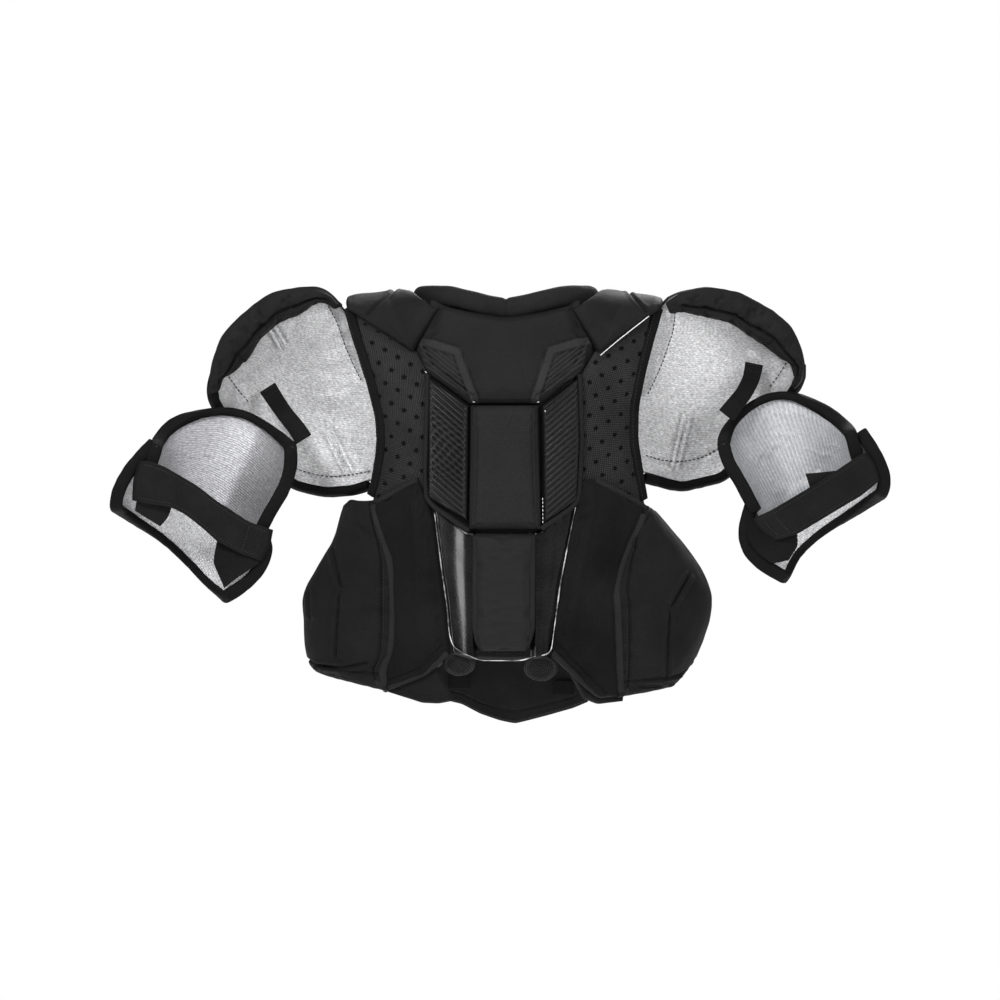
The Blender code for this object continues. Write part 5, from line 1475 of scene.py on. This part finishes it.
    def swell(u, v, fine):
        s = np.sin(np.pi * np.clip(v, 0, 1)) ** 0.62 * np.sin(np.pi * (0.05 + 0.90 * u)) ** 0.45
        h = 0.0035 + 0.0135 * s
        if fine:
            c = 0.46 + 0.06 * np.sin(5 * u)
            h = h - 0.0062 * np.exp(-((v - c) / 0.060) ** 2) * smooth(0.02, 0.14, u) * smooth(0.98, 0.86, u)
            ruff = noise(u * o_.length, v * 0.012, 0.0095, seed + 7) + 0.7 * noise(u * o_.length, v * 0.03, 0.019, seed + 8)
            h = h + 0.0019 * ruff * (0.35 + 0.65 * smooth(0.55, 0.1, v))
        return h
    nu, nv = 200, 46
    u, v = mesh_uv(nu, nv)
    cu, cv = mesh_uv(44, 12)
    d = billow(across(cu, cv, swell(cu, cv, False)), across(cu, cv, 0.0012 + 0 * cu), pressure=2.5, grow=0.07, limit=0.0045, frames=16)
    outer = across(u, v, swell(u, v, True)) + grow_to(d, nu, nv)
    slab(word + "_cap_bolster", body, roll_cloth, outer, across(u, v, -0.0004 + 0 * u), None, 0.0016, 2, None,
         word + "_cap_roll", word + "_cap_roll", 0.8)

    # edge tape all round the cap
    p = rounded(sheet(binding), 0.006)
    p = resample(p, 260)
    a = place(p[:, 0], p[:, 1], -0.0052)
    n = unit(place(p[:, 0], p[:, 1], -0.0042) - a)
    w = across_of(a, n)
    sweep(word + "_cap_tape", body, tape, a, w, 0.0052, 0.0072, 18, 3.2, replaces=word + "_cap_binding",
          slot=word + "_cap_binding", wob=0.05, seed=seed)

    rows = []
    for line in seams:
        a, n = track(place, line, 0.0004, 60, 0.002)
        w = across_of(a, n)
        rows += [(onto(lined, a + w * e, n, 0.0003), n) for e in (0.0032, -0.0032)]
    stitches(word + "_cap_seam_stitch", body, dart_thread, rows, 0.0040, 0.0033, 0.00075, 0.0003)
    rows = [track(place, hem, 0.0004, 90, 0.004), track(place, sliver, 0.0002, 90, 0.004)]
    if side < 0:
        rows.append(track(place, [(226, 375), (235, 388), (246, 401)], 0.0004, 30, 0.003))
    else:
        rows.append(track(place, [(789, 361), (782, 373), (772, 386)], 0.0004, 30, 0.003))
    rows = [(onto(lined, a, n, 0.0002), n) for a, n in rows]
    stitches(word + "_cap_hem_stitch", body, black_thread, rows, 0.0050, 0.0036, 0.0006, 0.0006)
    return place


def outside(x, z, line, side):
    """1 on the torso's side of a line that runs down the cap."""
    p = sheet(line)
    order = np.argsort(p[:, 1])
    lx = np.interp(z, p[order, 1], p[order, 0])
    gap = (x - lx) * (-side)
    return smooth(-0.0002, 0.0012, gap) * (z > p[:, 1].min() - 0.002)


CAP_BOWL_L, CAP_BOWL_R = (300, 430, 125, 150), (722, 430, 125, 150)
place_cap_l = cap("left", -1, CAP_L, ROLL_L, CAP_BOWL_L,
                  [(223, 366), (214.5, 378), (212.5, 392), (216, 405), (226, 416), (257, 452), (293, 484), (323, 491), (352, 489), (366, 484)],
                  [([(300, 330), (318, 380), (330, 420)], 0.006, 0.0012), ([(262, 360), (300, 372), (345, 372)], 0.007, 0.0010),
                   ([(300, 400), (330, 440), (362, 455)], 0.006, 0.0010)],
                  [[(270, 326), (276, 335), (282, 347)], [(325, 426), (336, 449), (348, 474)]],
                  [(325, 300), (336, 320), (345, 346), (352, 362), (361, 380)],
                  [(292, 468), (310, 474), (328, 477), (346, 475.5), (370, 471)],
                  [((338, 450), (40, 45), 0.16), ((262, 352), (44, 34), -0.24), ((300, 340), (25, 40), -0.08), ((240, 400), (26, 22), -0.14)], 101)
place_cap_r = cap("right", 1, CAP_R, ROLL_R, CAP_BOWL_R,
                  [(800, 366), (800, 380), (794, 391), (777, 409), (757, 437), (726, 476), (684, 486), (647, 477)],
                  [([(700, 330), (712, 380), (690, 420)], 0.006, 0.0011), ([(660, 420), (690, 400), (735, 392)], 0.007, 0.0010),
                   ([(735, 330), (745, 350), (770, 362)], 0.006, 0.0012)],
                  [[(690, 411), (683, 440), (676, 470)]],
                  [(676, 310), (674, 330), (663, 362), (654, 382), (648, 394)],
                  [(646, 455), (662, 460), (682, 462), (702, 458), (722, 448)],
                  [((690, 372), (26, 60), 0.16), ((765, 345), (38, 30), -0.30), ((716, 430), (26, 44), -0.22), ((655, 440), (16, 40), -0.10)], 105)

# ================================================================= arm shells
def arm_surface(shape, rim_y, depth, r=0.004):
    patch = Patch(*shape, r=r)

    def spot(u, v):
        q = patch.at((1 - np.cos(np.pi * u)) / 2, v)
        return np.stack([q[..., 0], rim_y + depth * np.sin(np.pi * u), q[..., 1]], -1)

    def place(u, v, h):
        e = 0.004
        du = spot(u + e, v) - spot(u - e, v)
        dv = spot(u, np.minimum(1, v + e)) - spot(u, np.maximum(0, v - e))
        n = unit(np.cross(du, dv))
        want = np.stack([np.cos(np.pi * u), -np.sin(np.pi * u), 0 * u], -1)
        n = n * np.where((n * want).sum(-1, keepdims=True) < 0, -1.0, 1.0)
        return spot(u, v) + n * np.broadcast_to(h, u.shape)[..., None]
    return place, patch


SHIELD_L = (
    [(160, 447), (163, 438), (170, 427), (179, 420), (196, 414), (217, 410), (238, 412), (255, 420), (272, 433), (286, 447)],
    [(286, 447), (287, 460), (285, 474), (278, 491), (266, 509), (250, 542)],
    [(150, 476), (250, 542)],
    [(160, 447), (158, 460), (150, 476)])
CUFF_L = (
    [(151, 452), (257, 534)],
    [(257, 534), (263, 548), (258, 564), (244, 580), (222, 594)],
    [(120, 508), (136, 521), (156, 535), (172, 548), (189, 565), (204, 581), (222, 594)],
    [(151, 452), (138, 466), (128, 480), (120, 497), (120, 508)])
SHIELD_R = (
    [(728, 443), (732, 427), (740, 416), (753, 405), (767, 397), (780, 394), (795, 395), (810, 402), (825, 411), (838, 422), (847, 434)],
    [(847, 434), (852, 456), (857, 468)],
    [(765, 520), (857, 468)],
    [(728, 443), (731, 459), (743, 477), (754, 498), (765, 520)])
CUFF_R = (
    [(754, 512), (862, 441)],
    [(862, 441), (870, 453), (877, 467), (882, 480), (878, 492)],
    [(788, 574), (798, 555), (812, 541), (830, 528), (850, 515), (878, 492)],
    [(754, 512), (748, 531), (752, 549), (766, 562), (788, 574)])


def tube_cover(name, body, mat, place, lu, lv, nu, nv, node, seed, inner_h, outer_h):
    u, v = mesh_uv(nu, nv)
    e = np.minimum(np.minimum(u, 1 - u) * lu, np.minimum(v, 1 - v) * lv)
    turn = np.sqrt(np.clip(1 - (1 - np.clip(e / 0.006, 0, 1)) ** 2, 0, 1))
    plate = smooth(0.68, 0.60, np.maximum(np.abs(2 * u - 1), np.abs(2 * v - 1)))
    h = outer_h + 0.0035 * (1 - turn) - 0.0018 * plate
    h = h - groove(e - 0.012, 0.0013, 0.0014) - 0.0006 * noise(u * lu, v * lv, 0.022, seed)
    return slab(name, body, mat, place(u, v, h), place(u, v, inner_h + 0 * u), None, 0.0006, 2, None, node, node, 0.85)


def arm(word, side, shield, cuff, seed):
    body = word + "_biceps"
    place, patch = arm_surface(shield, ARM_RIM_Y, ARM_DEPTH)
    lu, lv = 0.20, 0.5 * (patch.l.length + patch.r.length)
    nu, nv = 150, 110

    def height(u, v):
        a, b = u * lu, v * lv
        h = 0.0005 * noise(a, b, 0.03, seed) + 0.0002 * noise(a, b, 0.010, seed + 1)
        h = h + 0.00022 * np.cos(2 * np.pi * a / 0.0042) * (side > 0) + 0.00012 * np.cos(2 * np.pi * b / 0.0042) * (side < 0)
        return h
    u, v = mesh_uv(nu, nv)
    cu, cv = mesh_uv(34, 26)
    o, i = place(cu, cv, 0 * cu), place(cu, cv, -0.004 + 0 * cu)
    e = np.minimum(np.minimum(u, 1 - u) * lu, v * lv)
    tuck = smooth(0.001, 0.013, e)
    d = grow_to(billow(o, i, pressure=0.5, grow=0.006, limit=0.0014, frames=16), nu, nv) * tuck[..., None]
    # painted shade: the shield lining is painted darker towards its rim, where it tucks under the tape
    shade = 0.30 * np.exp(-(e / 0.006) ** 2)
    p0 = place(u, v, 0 * u)
    su, sv = p0[..., 0] / SHEET + MIDLINE, DATUM - p0[..., 2] / SHEET
    # painted light on the shield lining: a painted highlight band with painted shade beside it and towards the bottom
    if side < 0:
        off = (su - (262 - (sv - 415) * 0.46)) * 0.9
        nap = 0.16 - 0.56 * smooth(-4, 9, off) - 0.30 * smooth(8, 66, -off) - 0.22 * smooth(448, 500, sv)
    else:
        off = su - (778 + (sv - 400) * 0.25)
        nap = 0.06 - 0.30 * smooth(2, 24, -off) - 0.22 * smooth(6, 38, off) - 0.14 * smooth(450, 500, sv)
    slab(word + "_shield_lining", body, silver_shield if side < 0 else silver_rib, place(u, v, height(u, v) * tuck - 0.0038 * (1 - tuck)) + d, place(u, v, -0.0044 + 0 * u), None,
         0.0004, 2, {"shade": shade, "nap": nap}, word + "_biceps_liner", word + "_biceps_liner", 0.5)
    tube_cover(word + "_shield_cover", body, cover_cloth, place, lu, lv, 110, 90, word + "_biceps_plate", seed + 3, -0.0048, -0.0118)

    # tape round the open edge and the top
    t = np.linspace(0.86, 0, 50)
    left_ = place(0 * t, t, -0.005 + 0 * t)
    u_ = np.linspace(0, 1, 150)[1:-1]
    top = place(u_, 0 * u_, -0.005 + 0 * u_)
    t2 = np.linspace(0, 0.86, 50)
    right_ = place(1 + 0 * t2, t2, -0.005 + 0 * t2)
    rim = np.concatenate([left_, top, right_])
    n0 = np.concatenate([place(0 * t, t, 0 * t), place(u_, 0 * u_, 0 * u_), place(1 + 0 * t2, t2, 0 * t2)])
    nrm = unit(n0 - rim)
    rim = resample(rounded(rim, 0.009), 260)
    s0 = np.linspace(0, 1, len(nrm))
    nrm = unit(np.stack([np.interp(np.linspace(0, 1, 260), s0, nrm[:, c]) for c in range(3)], -1))
    w = across_of(rim, nrm)
    sweep(word + "_shield_tape", body, tape, rim, w, 0.0048, 0.0074, 18, 3.4, replaces=word + "_biceps_binding",
          slot=word + "_biceps_binding", wob=0.04, seed=seed)

    # cuff
    cbody = word + "_cuff"
    cplace, cpatch = arm_surface(cuff, ARM_RIM_Y, ARM_DEPTH)
    clu, clv = 0.19, 0.5 * (cpatch.l.length + cpatch.r.length)
    nu, nv = 130, 60
    u, v = mesh_uv(nu, nv)
    h = 0.0009 * noise(u * clu, v * clv, 0.025, seed + 11) + 0.0004 * noise(u * clu, v * clv, 0.009, seed + 12)
    # painted shade: the elbow lining is painted darker along its lower rim
    slab(word + "_elbow_lining", cbody, silver_cuff, cplace(u, v, h), cplace(u, v, -0.0044 + 0 * u), None, 0.0004, 2,
         {"shade": 0.2 * np.exp(-((1 - v) * clv / 0.006) ** 2)}, word + "_cuff_liner", word + "_cuff_liner", 0.5)
    tube_cover(word + "_elbow_cover", cbody, cover_cloth, cplace, clu, clv, 100, 50, word + "_cuff_pad", seed + 13, -0.0048, -0.0118)
    t = np.linspace(0.0, 1, 40)[:-1]
    l_, r_ = cplace(0 * t, t, -0.005 + 0 * t), cplace(1 + 0 * t, t[::-1], -0.005 + 0 * t)
    u_ = np.linspace(0, 1, 150)
    low = cplace(u_, 1 + 0 * u_, -0.005 + 0 * u_)
    rim = np.concatenate([l_, low, r_])
    n0 = np.concatenate([cplace(0 * t, t, 0 * t), cplace(u_, 1 + 0 * u_, 0 * u_), cplace(1 + 0 * t, t[::-1], 0 * t)])
    for end, inward in ((0, 1), (-1, -1)):
        step = unit(rim[end] - rim[end + 3 * inward])
        more = rim[end] + step * 0.007 + np.array([0, 0.010, 0])
        side_ = n0[end] - rim[end]
        rim = np.concatenate([[more], rim]) if end == 0 else np.concatenate([rim, [more]])
        n0 = np.concatenate([[more + side_], n0]) if end == 0 else np.concatenate([n0, [more + side_]])
    nrm = unit(n0 - rim)
    rim2 = resample(rounded(rim, 0.008), 240)
    s0 = np.linspace(0, 1, len(nrm))
    nrm = unit(np.stack([np.interp(np.linspace(0, 1, 240), s0, nrm[:, c]) for c in range(3)], -1))
    sweep(word + "_elbow_tape", cbody, tape, rim2, across_of(rim2, nrm), 0.0048, 0.0074, 18, 3.4, wob=0.05, seed=seed + 2)
    return place, cplace


place_sh_l, place_cu_l = arm("left", -1, SHIELD_L, CUFF_L, 111)
place_sh_r, place_cu_r = arm("right", 1, SHIELD_R, CUFF_R, 131)

# ---- biceps straps
STRAP_Y = ARM_RIM_Y - 0.0125


def strap(word, shape, ends, seed):
    """Webbing across the arm: shape is its outline, ends the run of it out of the plane, towards the arm at both ends."""
    patch = Patch(*shape, r=0.0035)
    span = 0.5 * (patch.t.length + patch.b.length)
    width = 0.5 * (patch.l.length + patch.r.length)
    xs, ys = [r[0] for r in ends], [r[1] for r in ends]
    nu, nv = 170, 44
    u, v = mesh_uv(nu, nv)

    def at(u, v, h):
        q = patch.at(u, v)
        off = hermite(list(zip(xs, ys)), u)
        ripple = 0.0014 * np.sin(7.0 * u + seed) * (v - 0.5) + 0.0007 * np.sin(15.0 * u + 2 * seed)
        return np.stack([q[..., 0], STRAP_Y + off + ripple - h, q[..., 1]], -1)
    e = np.minimum(v, 1 - v) * width
    h = 0.0016 - 0.0008 * (1 - smooth(0, 0.0014, e)) + groove(e - 0.0034, 0.0006, 0.0005) + 0.0005 * noise(u * span, v * width, 0.018, seed)
    slab(word + "_arm_strap", word + "_strap", strap_web, at(u, v, h), at(u, v, -0.0015 + 0 * u), None, 0.0003, 1, None,
         word + "_biceps_strap", word + "_biceps_strap")
    t = np.linspace(0.04, 0.96, 80)
    rows = []
    front = np.tile(np.array([[0.0, -1.0, 0.0]]), (80, 1))
    for vv in (0.10, 0.90):
        rows.append((at(t, vv + 0 * t, 0.0014 + 0 * t), front))
    for uu in (0.84, 0.93) if word == "left" else (0.07, 0.16):
        s = np.linspace(0.12, 0.88, 80)
        rows.append((at(uu + 0 * s, s, 0.0016 + 0 * s), front))
    stitches(word + "_strap_stitch", word + "_strap", faint_thread, rows, 0.0034, 0.0023, 0.0003, 0.0002)
    return at


RUN = [(0.0, 0.0065), (0.015, 0.0030), (0.05, 0.0004), (0.12, -0.0016), (0.33, -0.0040), (0.5, -0.0046), (0.67, -0.0040),
       (0.88, -0.0016), (0.95, 0.0004), (0.985, 0.0030), (1.0, 0.0065)]
strap("left", ([(139, 461), (150, 461), (165, 467), (196, 485), (217, 501), (249, 522), (273, 530)],
               [(273, 530), (270, 546), (262, 561)],
               [(132, 500), (150, 504), (171, 507), (185, 514), (203, 528), (217, 541), (240, 553), (262, 561)],
               [(139, 461), (133, 480), (132, 500)]), RUN, 1)
strap("right", ([(752, 519), (772, 510), (807, 489), (830, 475), (858, 456), (867, 452)],
                [(867, 452), (876, 465), (880, 480)],
                [(774, 541), (797, 534), (835, 511), (862, 495), (880, 480)],
                [(752, 519), (760, 531), (774, 541)]), RUN, 2)


def flap(name, body, mat, shape, y0, thick, seed, curl=0.0):
    """A loose fold of padded cloth at the end of a strap."""
    patch = Patch(*shape, r=0.003)
    lu = 0.5 * (patch.t.length + patch.b.length)
    lv = 0.5 * (patch.l.length + patch.r.length)
    nu, nv = max(16, int(lu / 0.0011)), max(16, int(lv / 0.0011))
    u, v = mesh_uv(nu, nv, 0.4)
    q = patch.at(u, v)
    e = np.minimum(np.minimum(u, 1 - u) * lu, np.minimum(v, 1 - v) * lv)
    turn = np.sqrt(np.clip(1 - (1 - np.clip(e / 0.005, 0, 1)) ** 2, 0, 1))
    lift = curl * (u - 0.5) ** 2 * 4
    y = y0 + lift - thick * turn - 0.0012 * noise(q[..., 0], q[..., 1], 0.013, seed) * turn
    outer = np.stack([q[..., 0], y, q[..., 1]], -1)
    inner = np.stack([q[..., 0], y0 + lift + 0.0012, q[..., 1]], -1)
    slab(name, body, mat, outer, inner, None, 0.0006, 2, None, (), None, 0.5)


flap("left_strap_keeper", "left_cuff", loop, ([(217, 540), (240, 548), (268, 534)], [(268, 534), (268, 550), (258, 564)],
                                               [(224, 588), (238, 577), (258, 564)], [(217, 540), (213, 562), (224, 588)]),
     -0.0865, 0.0035, 171, 0.003)
flap("left_hook_end", "left_biceps", hook, ([(137, 498), (172, 505)], [(172, 505), (168, 517), (160, 526)],
                                            [(135, 511), (160, 526)], [(137, 498), (135, 511)]), -0.0850, 0.0018, 172)
flap("right_strap_keeper", "right_cuff", loop, ([(748, 516), (775, 534), (797, 530)], [(797, 530), (798, 546), (789, 560)],
                                                 [(757, 553), (772, 564), (789, 560)], [(748, 516), (745, 537), (757, 553)]),
     -0.0865, 0.0035, 173, 0.003)
flap("right_hook_end", "right_biceps", hook, ([(806, 474), (836, 471)], [(836, 471), (838, 480)], [(810, 487), (838, 480)],
                                              [(806, 474), (810, 487)]), -0.0850, 0.0018, 174)

# ---- elastic links
LINK_L = [((266, 387), 0.0020), ((275, 401), -0.0120), ((285, 415), -0.0320), ((296, 428), -0.0500), ((303, 439), -0.0600)]
LINK_R = [((756, 363), -0.0010), ((753, 378), -0.0120), ((745, 393), -0.0320), ((735, 405), -0.0500), ((727, 415), -0.0600)]


def link(word, stations, width, seed):
    p = np.array([((u - MIDLINE) * SHEET, y, (DATUM - v) * SHEET) for (u, v), y in stations])
    line = Line(rounded(p, 0.006))
    u, v = mesh_uv(90, 26)

    def at(u, v, h):
        c = line.at(u)
        d = unit(line.at(np.minimum(1, u + 0.04)) - line.at(np.maximum(0, u - 0.04)))
        wide = unit(np.stack([-d[..., 2], 0 * d[..., 0], d[..., 0]], -1))
        n = unit(np.cross(d, wide))
        gather = 1 - 0.08 * np.sin(np.pi * u)
        return c + wide * (width * gather * (v - 0.5))[..., None] + n * np.broadcast_to(h, u.shape)[..., None]
    h = 0.0011 + 0.00022 * np.cos(2 * np.pi * v * 9)
    slab(word + "_link", word + "_biceps", elastic, at(u, v, h), at(u, v, -0.0011 + 0 * u), None, 0.0003, 1, None,
         word + "_cap_elastic", word + "_cap_elastic")
    # the sewn box at its upper end
    t = np.linspace(0.12, 0.88, 20)
    rows = []
    for uu in (0.03, 0.12):
        p0, p1 = at(uu + 0 * t, t, -0.0012 + 0 * t), at(uu + 0 * t, t, -0.0022 + 0 * t)
        rows.append((p0, unit(p1 - p0)))
        p0, p1 = at(uu + 0 * t, t, 0.0012 + 0 * t), at(uu + 0 * t, t, 0.0022 + 0 * t)
        rows.append((p0, unit(p1 - p0)))
    stitches(word + "_link_stitch", word + "_biceps", faint_thread, rows, 0.0030, 0.0021, 0.0003, 0.0001)


link("left", LINK_L, 0.020, 1)
link("right", LINK_R, 0.020, 2)

# ================================================================= chest
V_TOP = [(362, 336), (440, 337), (506, 374), (572, 337), (650, 336)]
CHEST_L = [(362, 336), (378, 400), (386, 470), (394, 566)]
chest_patch = Patch(V_TOP, flip(CHEST_L), [(394, 566), (506, 574), (618, 566)], CHEST_L, r=0.004)
plain_sheet("chest_carrier", "chest", perforated, CHEST, chest_patch, -0.0155, -0.0120, 100, 90, "chest_base_panel",
            lambda x, z, u, v: 0.0004 * noise(x, z, 0.02, 141), "chest_base_panel")
plain_sheet("chest_lining", "chest", lining_dark, CHEST, chest_patch, -0.0197, -0.0162, 80, 70, "chest_liner",
            lambda x, z, u, v: 0.0003 * noise(x, z, 0.02, 142), "chest_liner")
PLATE_TOP, PLATE_IN = [(364, 338), (428, 338)], [(428, 338), (470, 386), (482, 420), (484, 474)]
PLATE_OUT, PLATE_LOW = [(364, 338), (380, 400), (389, 480)], [(389, 480), (484, 474)]


def chest_plate_detail(x, z, u, v):
    ring = np.maximum(np.abs(2 * u - 1), np.abs(2 * v - 1))
    h = 0.0016 * smooth(0.72, 0.64, ring) - 0.0010 * np.exp(-((ring - 0.82) / 0.02) ** 2)
    slots = smooth(0.10, 0.05, np.abs(np.mod(v * 5, 1.0) - 0.5)) * smooth(0.30, 0.24, np.abs(u - 0.5))
    return h - 0.0012 * slots


def both(name, body, mat, shape, node, *args, **kw):
    t, r, b, l = shape
    soft_pad("left_" + name, body, mat, CHEST, Patch(t, r, b, l), *args, replaces="left_" + node, slot="left_" + node, **kw)
    soft_pad("right_" + name, body, mat, CHEST, Patch(flip(t)[::-1], flip(l), flip(b)[::-1], flip(r)), *args,
             replaces="right_" + node, slot="right_" + node, **kw)


both("chest_shell", "chest", satin, (PLATE_TOP, PLATE_IN, PLATE_LOW, PLATE_OUT), "chest_plate", -0.011, -0.004, 0.001, 0.0018,
     6.0, chest_plate_detail, fill=0.95, roll=0.006)
both("front_loop", "chest", loop, ([(390, 483), (484, 477)], [(484, 477), (484, 562)], [(396, 563), (484, 562)], [(390, 483), (396, 563)]),
     "front_loop_panel", -0.011, -0.0075, -0.0055, 0.0020, 8.0, lambda x, z, u, v: 0.0004 * noise(x, z, 0.012, 151), fill=0.5, roll=0.003)
both("v_neck", "chest", knit, ([(433, 338), (449, 338)], [(449, 338), (474, 358), (505, 378)], [(487, 395), (505, 399)],
                               [(433, 338), (470, 380), (487, 395)]),
     "front_collar", -0.011, -0.002, 0.005, 0.0014, 3.0, lambda x, z, u, v: 0.0005 * noise(x, z, 0.012, 153), fill=0.8, roll=0.007,
     sim=dict(pressure=2.0, grow=0.02, limit=0.002))
soft_pad("sternum_pad", "chest", upper_cloth, CHEST,
         Patch([(487, 404), (525, 404)], [(525, 404), (526, 560)], [(486, 560), (526, 560)], [(487, 404), (486, 560)]),
         -0.011, -0.003, 0.0025, 0.0014, 5.0,
         lambda x, z, u, v: groove(np.abs(np.mod(v * 4, 1.0) - 0.5) * 0.043, 0.0014, 0.0018) + 0.0004 * noise(x, z, 0.015, 155),
         replaces="sternum_plate", slot="sternum_plate", fill=0.85, roll=0.006, sim=dict(pressure=2.0, grow=0.01, limit=0.002))

# ================================================================= belly guard
BELLY = ([(404, 528), (506, 534), (608, 528)], [(608, 528), (608, 640), (600, 705)],
         [(420, 700), (455, 707), (477, 717), (500, 724), (516, 727), (530, 724), (554, 718.5), (584, 711), (600, 705)],
         [(404, 528), (404, 640), (420, 700)])
belly_patch = Patch(*BELLY, r=0.003)
bu, bv = mesh_uv(150, 130, 0.3)
bq = belly_patch.at(bu, bv)
bx, bz = bq[..., 0], bq[..., 1]
be = np.minimum(np.minimum(bu, 1 - bu) * 0.22, np.minimum(bv, 1 - bv) * 0.20)
bt = np.sqrt(np.clip(1 - (1 - np.clip(be / 0.005, 0, 1)) ** 2, 0, 1))
hem = groove(be - 0.0125, 0.0011, 0.0012)
outer = CHEST(bx, bz, -0.0255 + 0.003 * bt + hem + 0.0005 * noise(bx, bz, 0.03, 161))
inner = CHEST(bx, bz, -0.0295 - 0.002 * bt - hem - 0.0005 * noise(bx, bz, 0.03, 163))
slab("belly_pad", "belly_guard", belly_cloth, outer, inner, belly_cloth, 0.0012, 2, None, "belly_guard_pad", "belly_guard_pad", 0.7)
path, normal = track(CHEST, [(420, 696), (455, 703), (477, 712.5), (500, 719.5), (516, 722.5), (530, 719.5), (554, 714), (584, 706.5), (600, 700.5)], -0.0318, 120, 0.004)
w = across_of(path, normal)
stitches("belly_hem_stitch", "belly_guard", faint_thread, [(path + w * 0.007, -normal), (path - w * 0.003, -normal)], 0.0040, 0.0026, 0.00032, 0.0002)


def hook_patch(name, node):
    lo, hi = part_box(node)
    a, b = mesh_uv(44, 34)
    x = lo.x + (hi.x - lo.x) * a
    z = lo.z + (hi.z - lo.z) * b
    e = np.minimum(np.minimum(a, 1 - a) * (hi.x - lo.x), np.minimum(b, 1 - b) * (hi.z - lo.z))
    tooth = 0.00030 * (0.5 + 0.5 * np.cos(2 * np.pi * x / 0.0016) * np.cos(2 * np.pi * z / 0.0016)) * smooth(0.001, 0.002, e)
    y = lo.y + 0.0002 + 0.0004 * smooth(0.0008, 0, e) - tooth + groove(e - 0.0018, 0.0004, -0.0003)
    slab(name, "belly_guard", hook, np.stack([x, y, z], -1), np.stack([x, 0 * x + hi.y, z], -1), None, 0.0002, 1, None, node, node)


hook_patch("left_hook_patch", "left_belly_patch")
hook_patch("right_hook_patch", "right_belly_patch")

# ================================================================= stage, light, camera
def plane(name, corners, mat):
    me = bpy.data.meshes.new(name)
    me.from_pydata(corners, [], [(0, 1, 2, 3)])
    me.materials.append(mat)
    ob = bpy.data.objects.new(name, me)
    bpy.context.scene.collection.objects.link(ob)
    return ob


pale = Mat("pale_floor")
grain = pale.noise(8.0, 3.0)
comb = pale.n("ShaderNodeCombineColor")
for i in range(3):
    pale.put(comb.inputs[i], pale.ramp(grain, 0.80, 0.83, 0.3, 0.7))
pale.link(comb.outputs[0], pale.b.inputs["Base Color"])
pale.b.inputs["Emission Color"].default_value = (1.0, 1.0, 1.0, 1.0)
pale.b.inputs["Emission Strength"].default_value = 0.82
pale = pale.done(rough=0.9, spec=0.1)
plane("floor", [(-6, -6, -1.15), (6, -6, -1.15), (6, 6, -1.15), (-6, 6, -1.15)], pale)

world = bpy.data.worlds.new("studio")
bpy.context.scene.world = world
world.use_nodes = True
wt = world.node_tree
sky = wt.nodes["Background"]
sky.inputs[0].default_value = (1.0, 1.0, 1.0, 1.0)
sky.inputs[1].default_value = 0.20
card = wt.nodes.new("ShaderNodeBackground")
card.inputs[0].default_value = (1.0, 1.0, 1.0, 1.0)
card.inputs[1].default_value = 1.0
seen = wt.nodes.new("ShaderNodeLightPath")
both_ = wt.nodes.new("ShaderNodeMixShader")
wt.links.new(seen.outputs["Is Camera Ray"], both_.inputs[0])
wt.links.new(sky.outputs[0], both_.inputs[1])
wt.links.new(card.outputs[0], both_.inputs[2])
wt.links.new(both_.outputs[0], wt.nodes["World Output"].inputs[0])


def area(name, loc, target, size, power, size_y=None):
    li = bpy.data.lights.new(name, "AREA")
    li.shape = "RECTANGLE"
    li.size, li.size_y = size, size_y or size
    li.energy = power
    ob = bpy.data.objects.new(name, li)
    bpy.context.scene.collection.objects.link(ob)
    ob.location = loc
    ob.rotation_mode = "QUATERNION"
    ob.rotation_quaternion = (Vector(target) - Vector(loc)).to_track_quat("-Z", "Y")
    return ob


area("key", (-1.3, -2.5, 1.9), (0, 0, -0.2), 0.9, 105)
area("fill", (2.0, -2.5, 1.0), (0, 0, -0.25), 1.0, 62)
area("top", (0, -0.5, 2.3), (0, 0, -0.1), 1.2, 38)
strip = area("strip", (-2.45, -1.45, -0.25), (0, 0, -0.3), 0.50, 48, 1.7)
strip.visible_diffuse = False  # only a reflection on the glossy plates, not a light on the cloth
area("front_side", (0.6, 2.6, 1.4), (0, 0, -0.25), 1.4, 90)

cam = bpy.data.cameras.new("camera")
cam.type = "PERSP"
cam.lens = 400
cam.sensor_width = 36
camera = bpy.data.objects.new("camera", cam)
bpy.context.scene.collection.objects.link(camera)
camera.location = (-0.00672, -0.09 - 0.56 / (18 / 400), -0.224)
camera.rotation_euler = (math.pi / 2, 0, 0)
bpy.context.scene.camera = camera
cam.clip_end = 60
sc = bpy.context.scene
sc.view_settings.view_transform = "Standard"
sc.view_settings.look = "None"
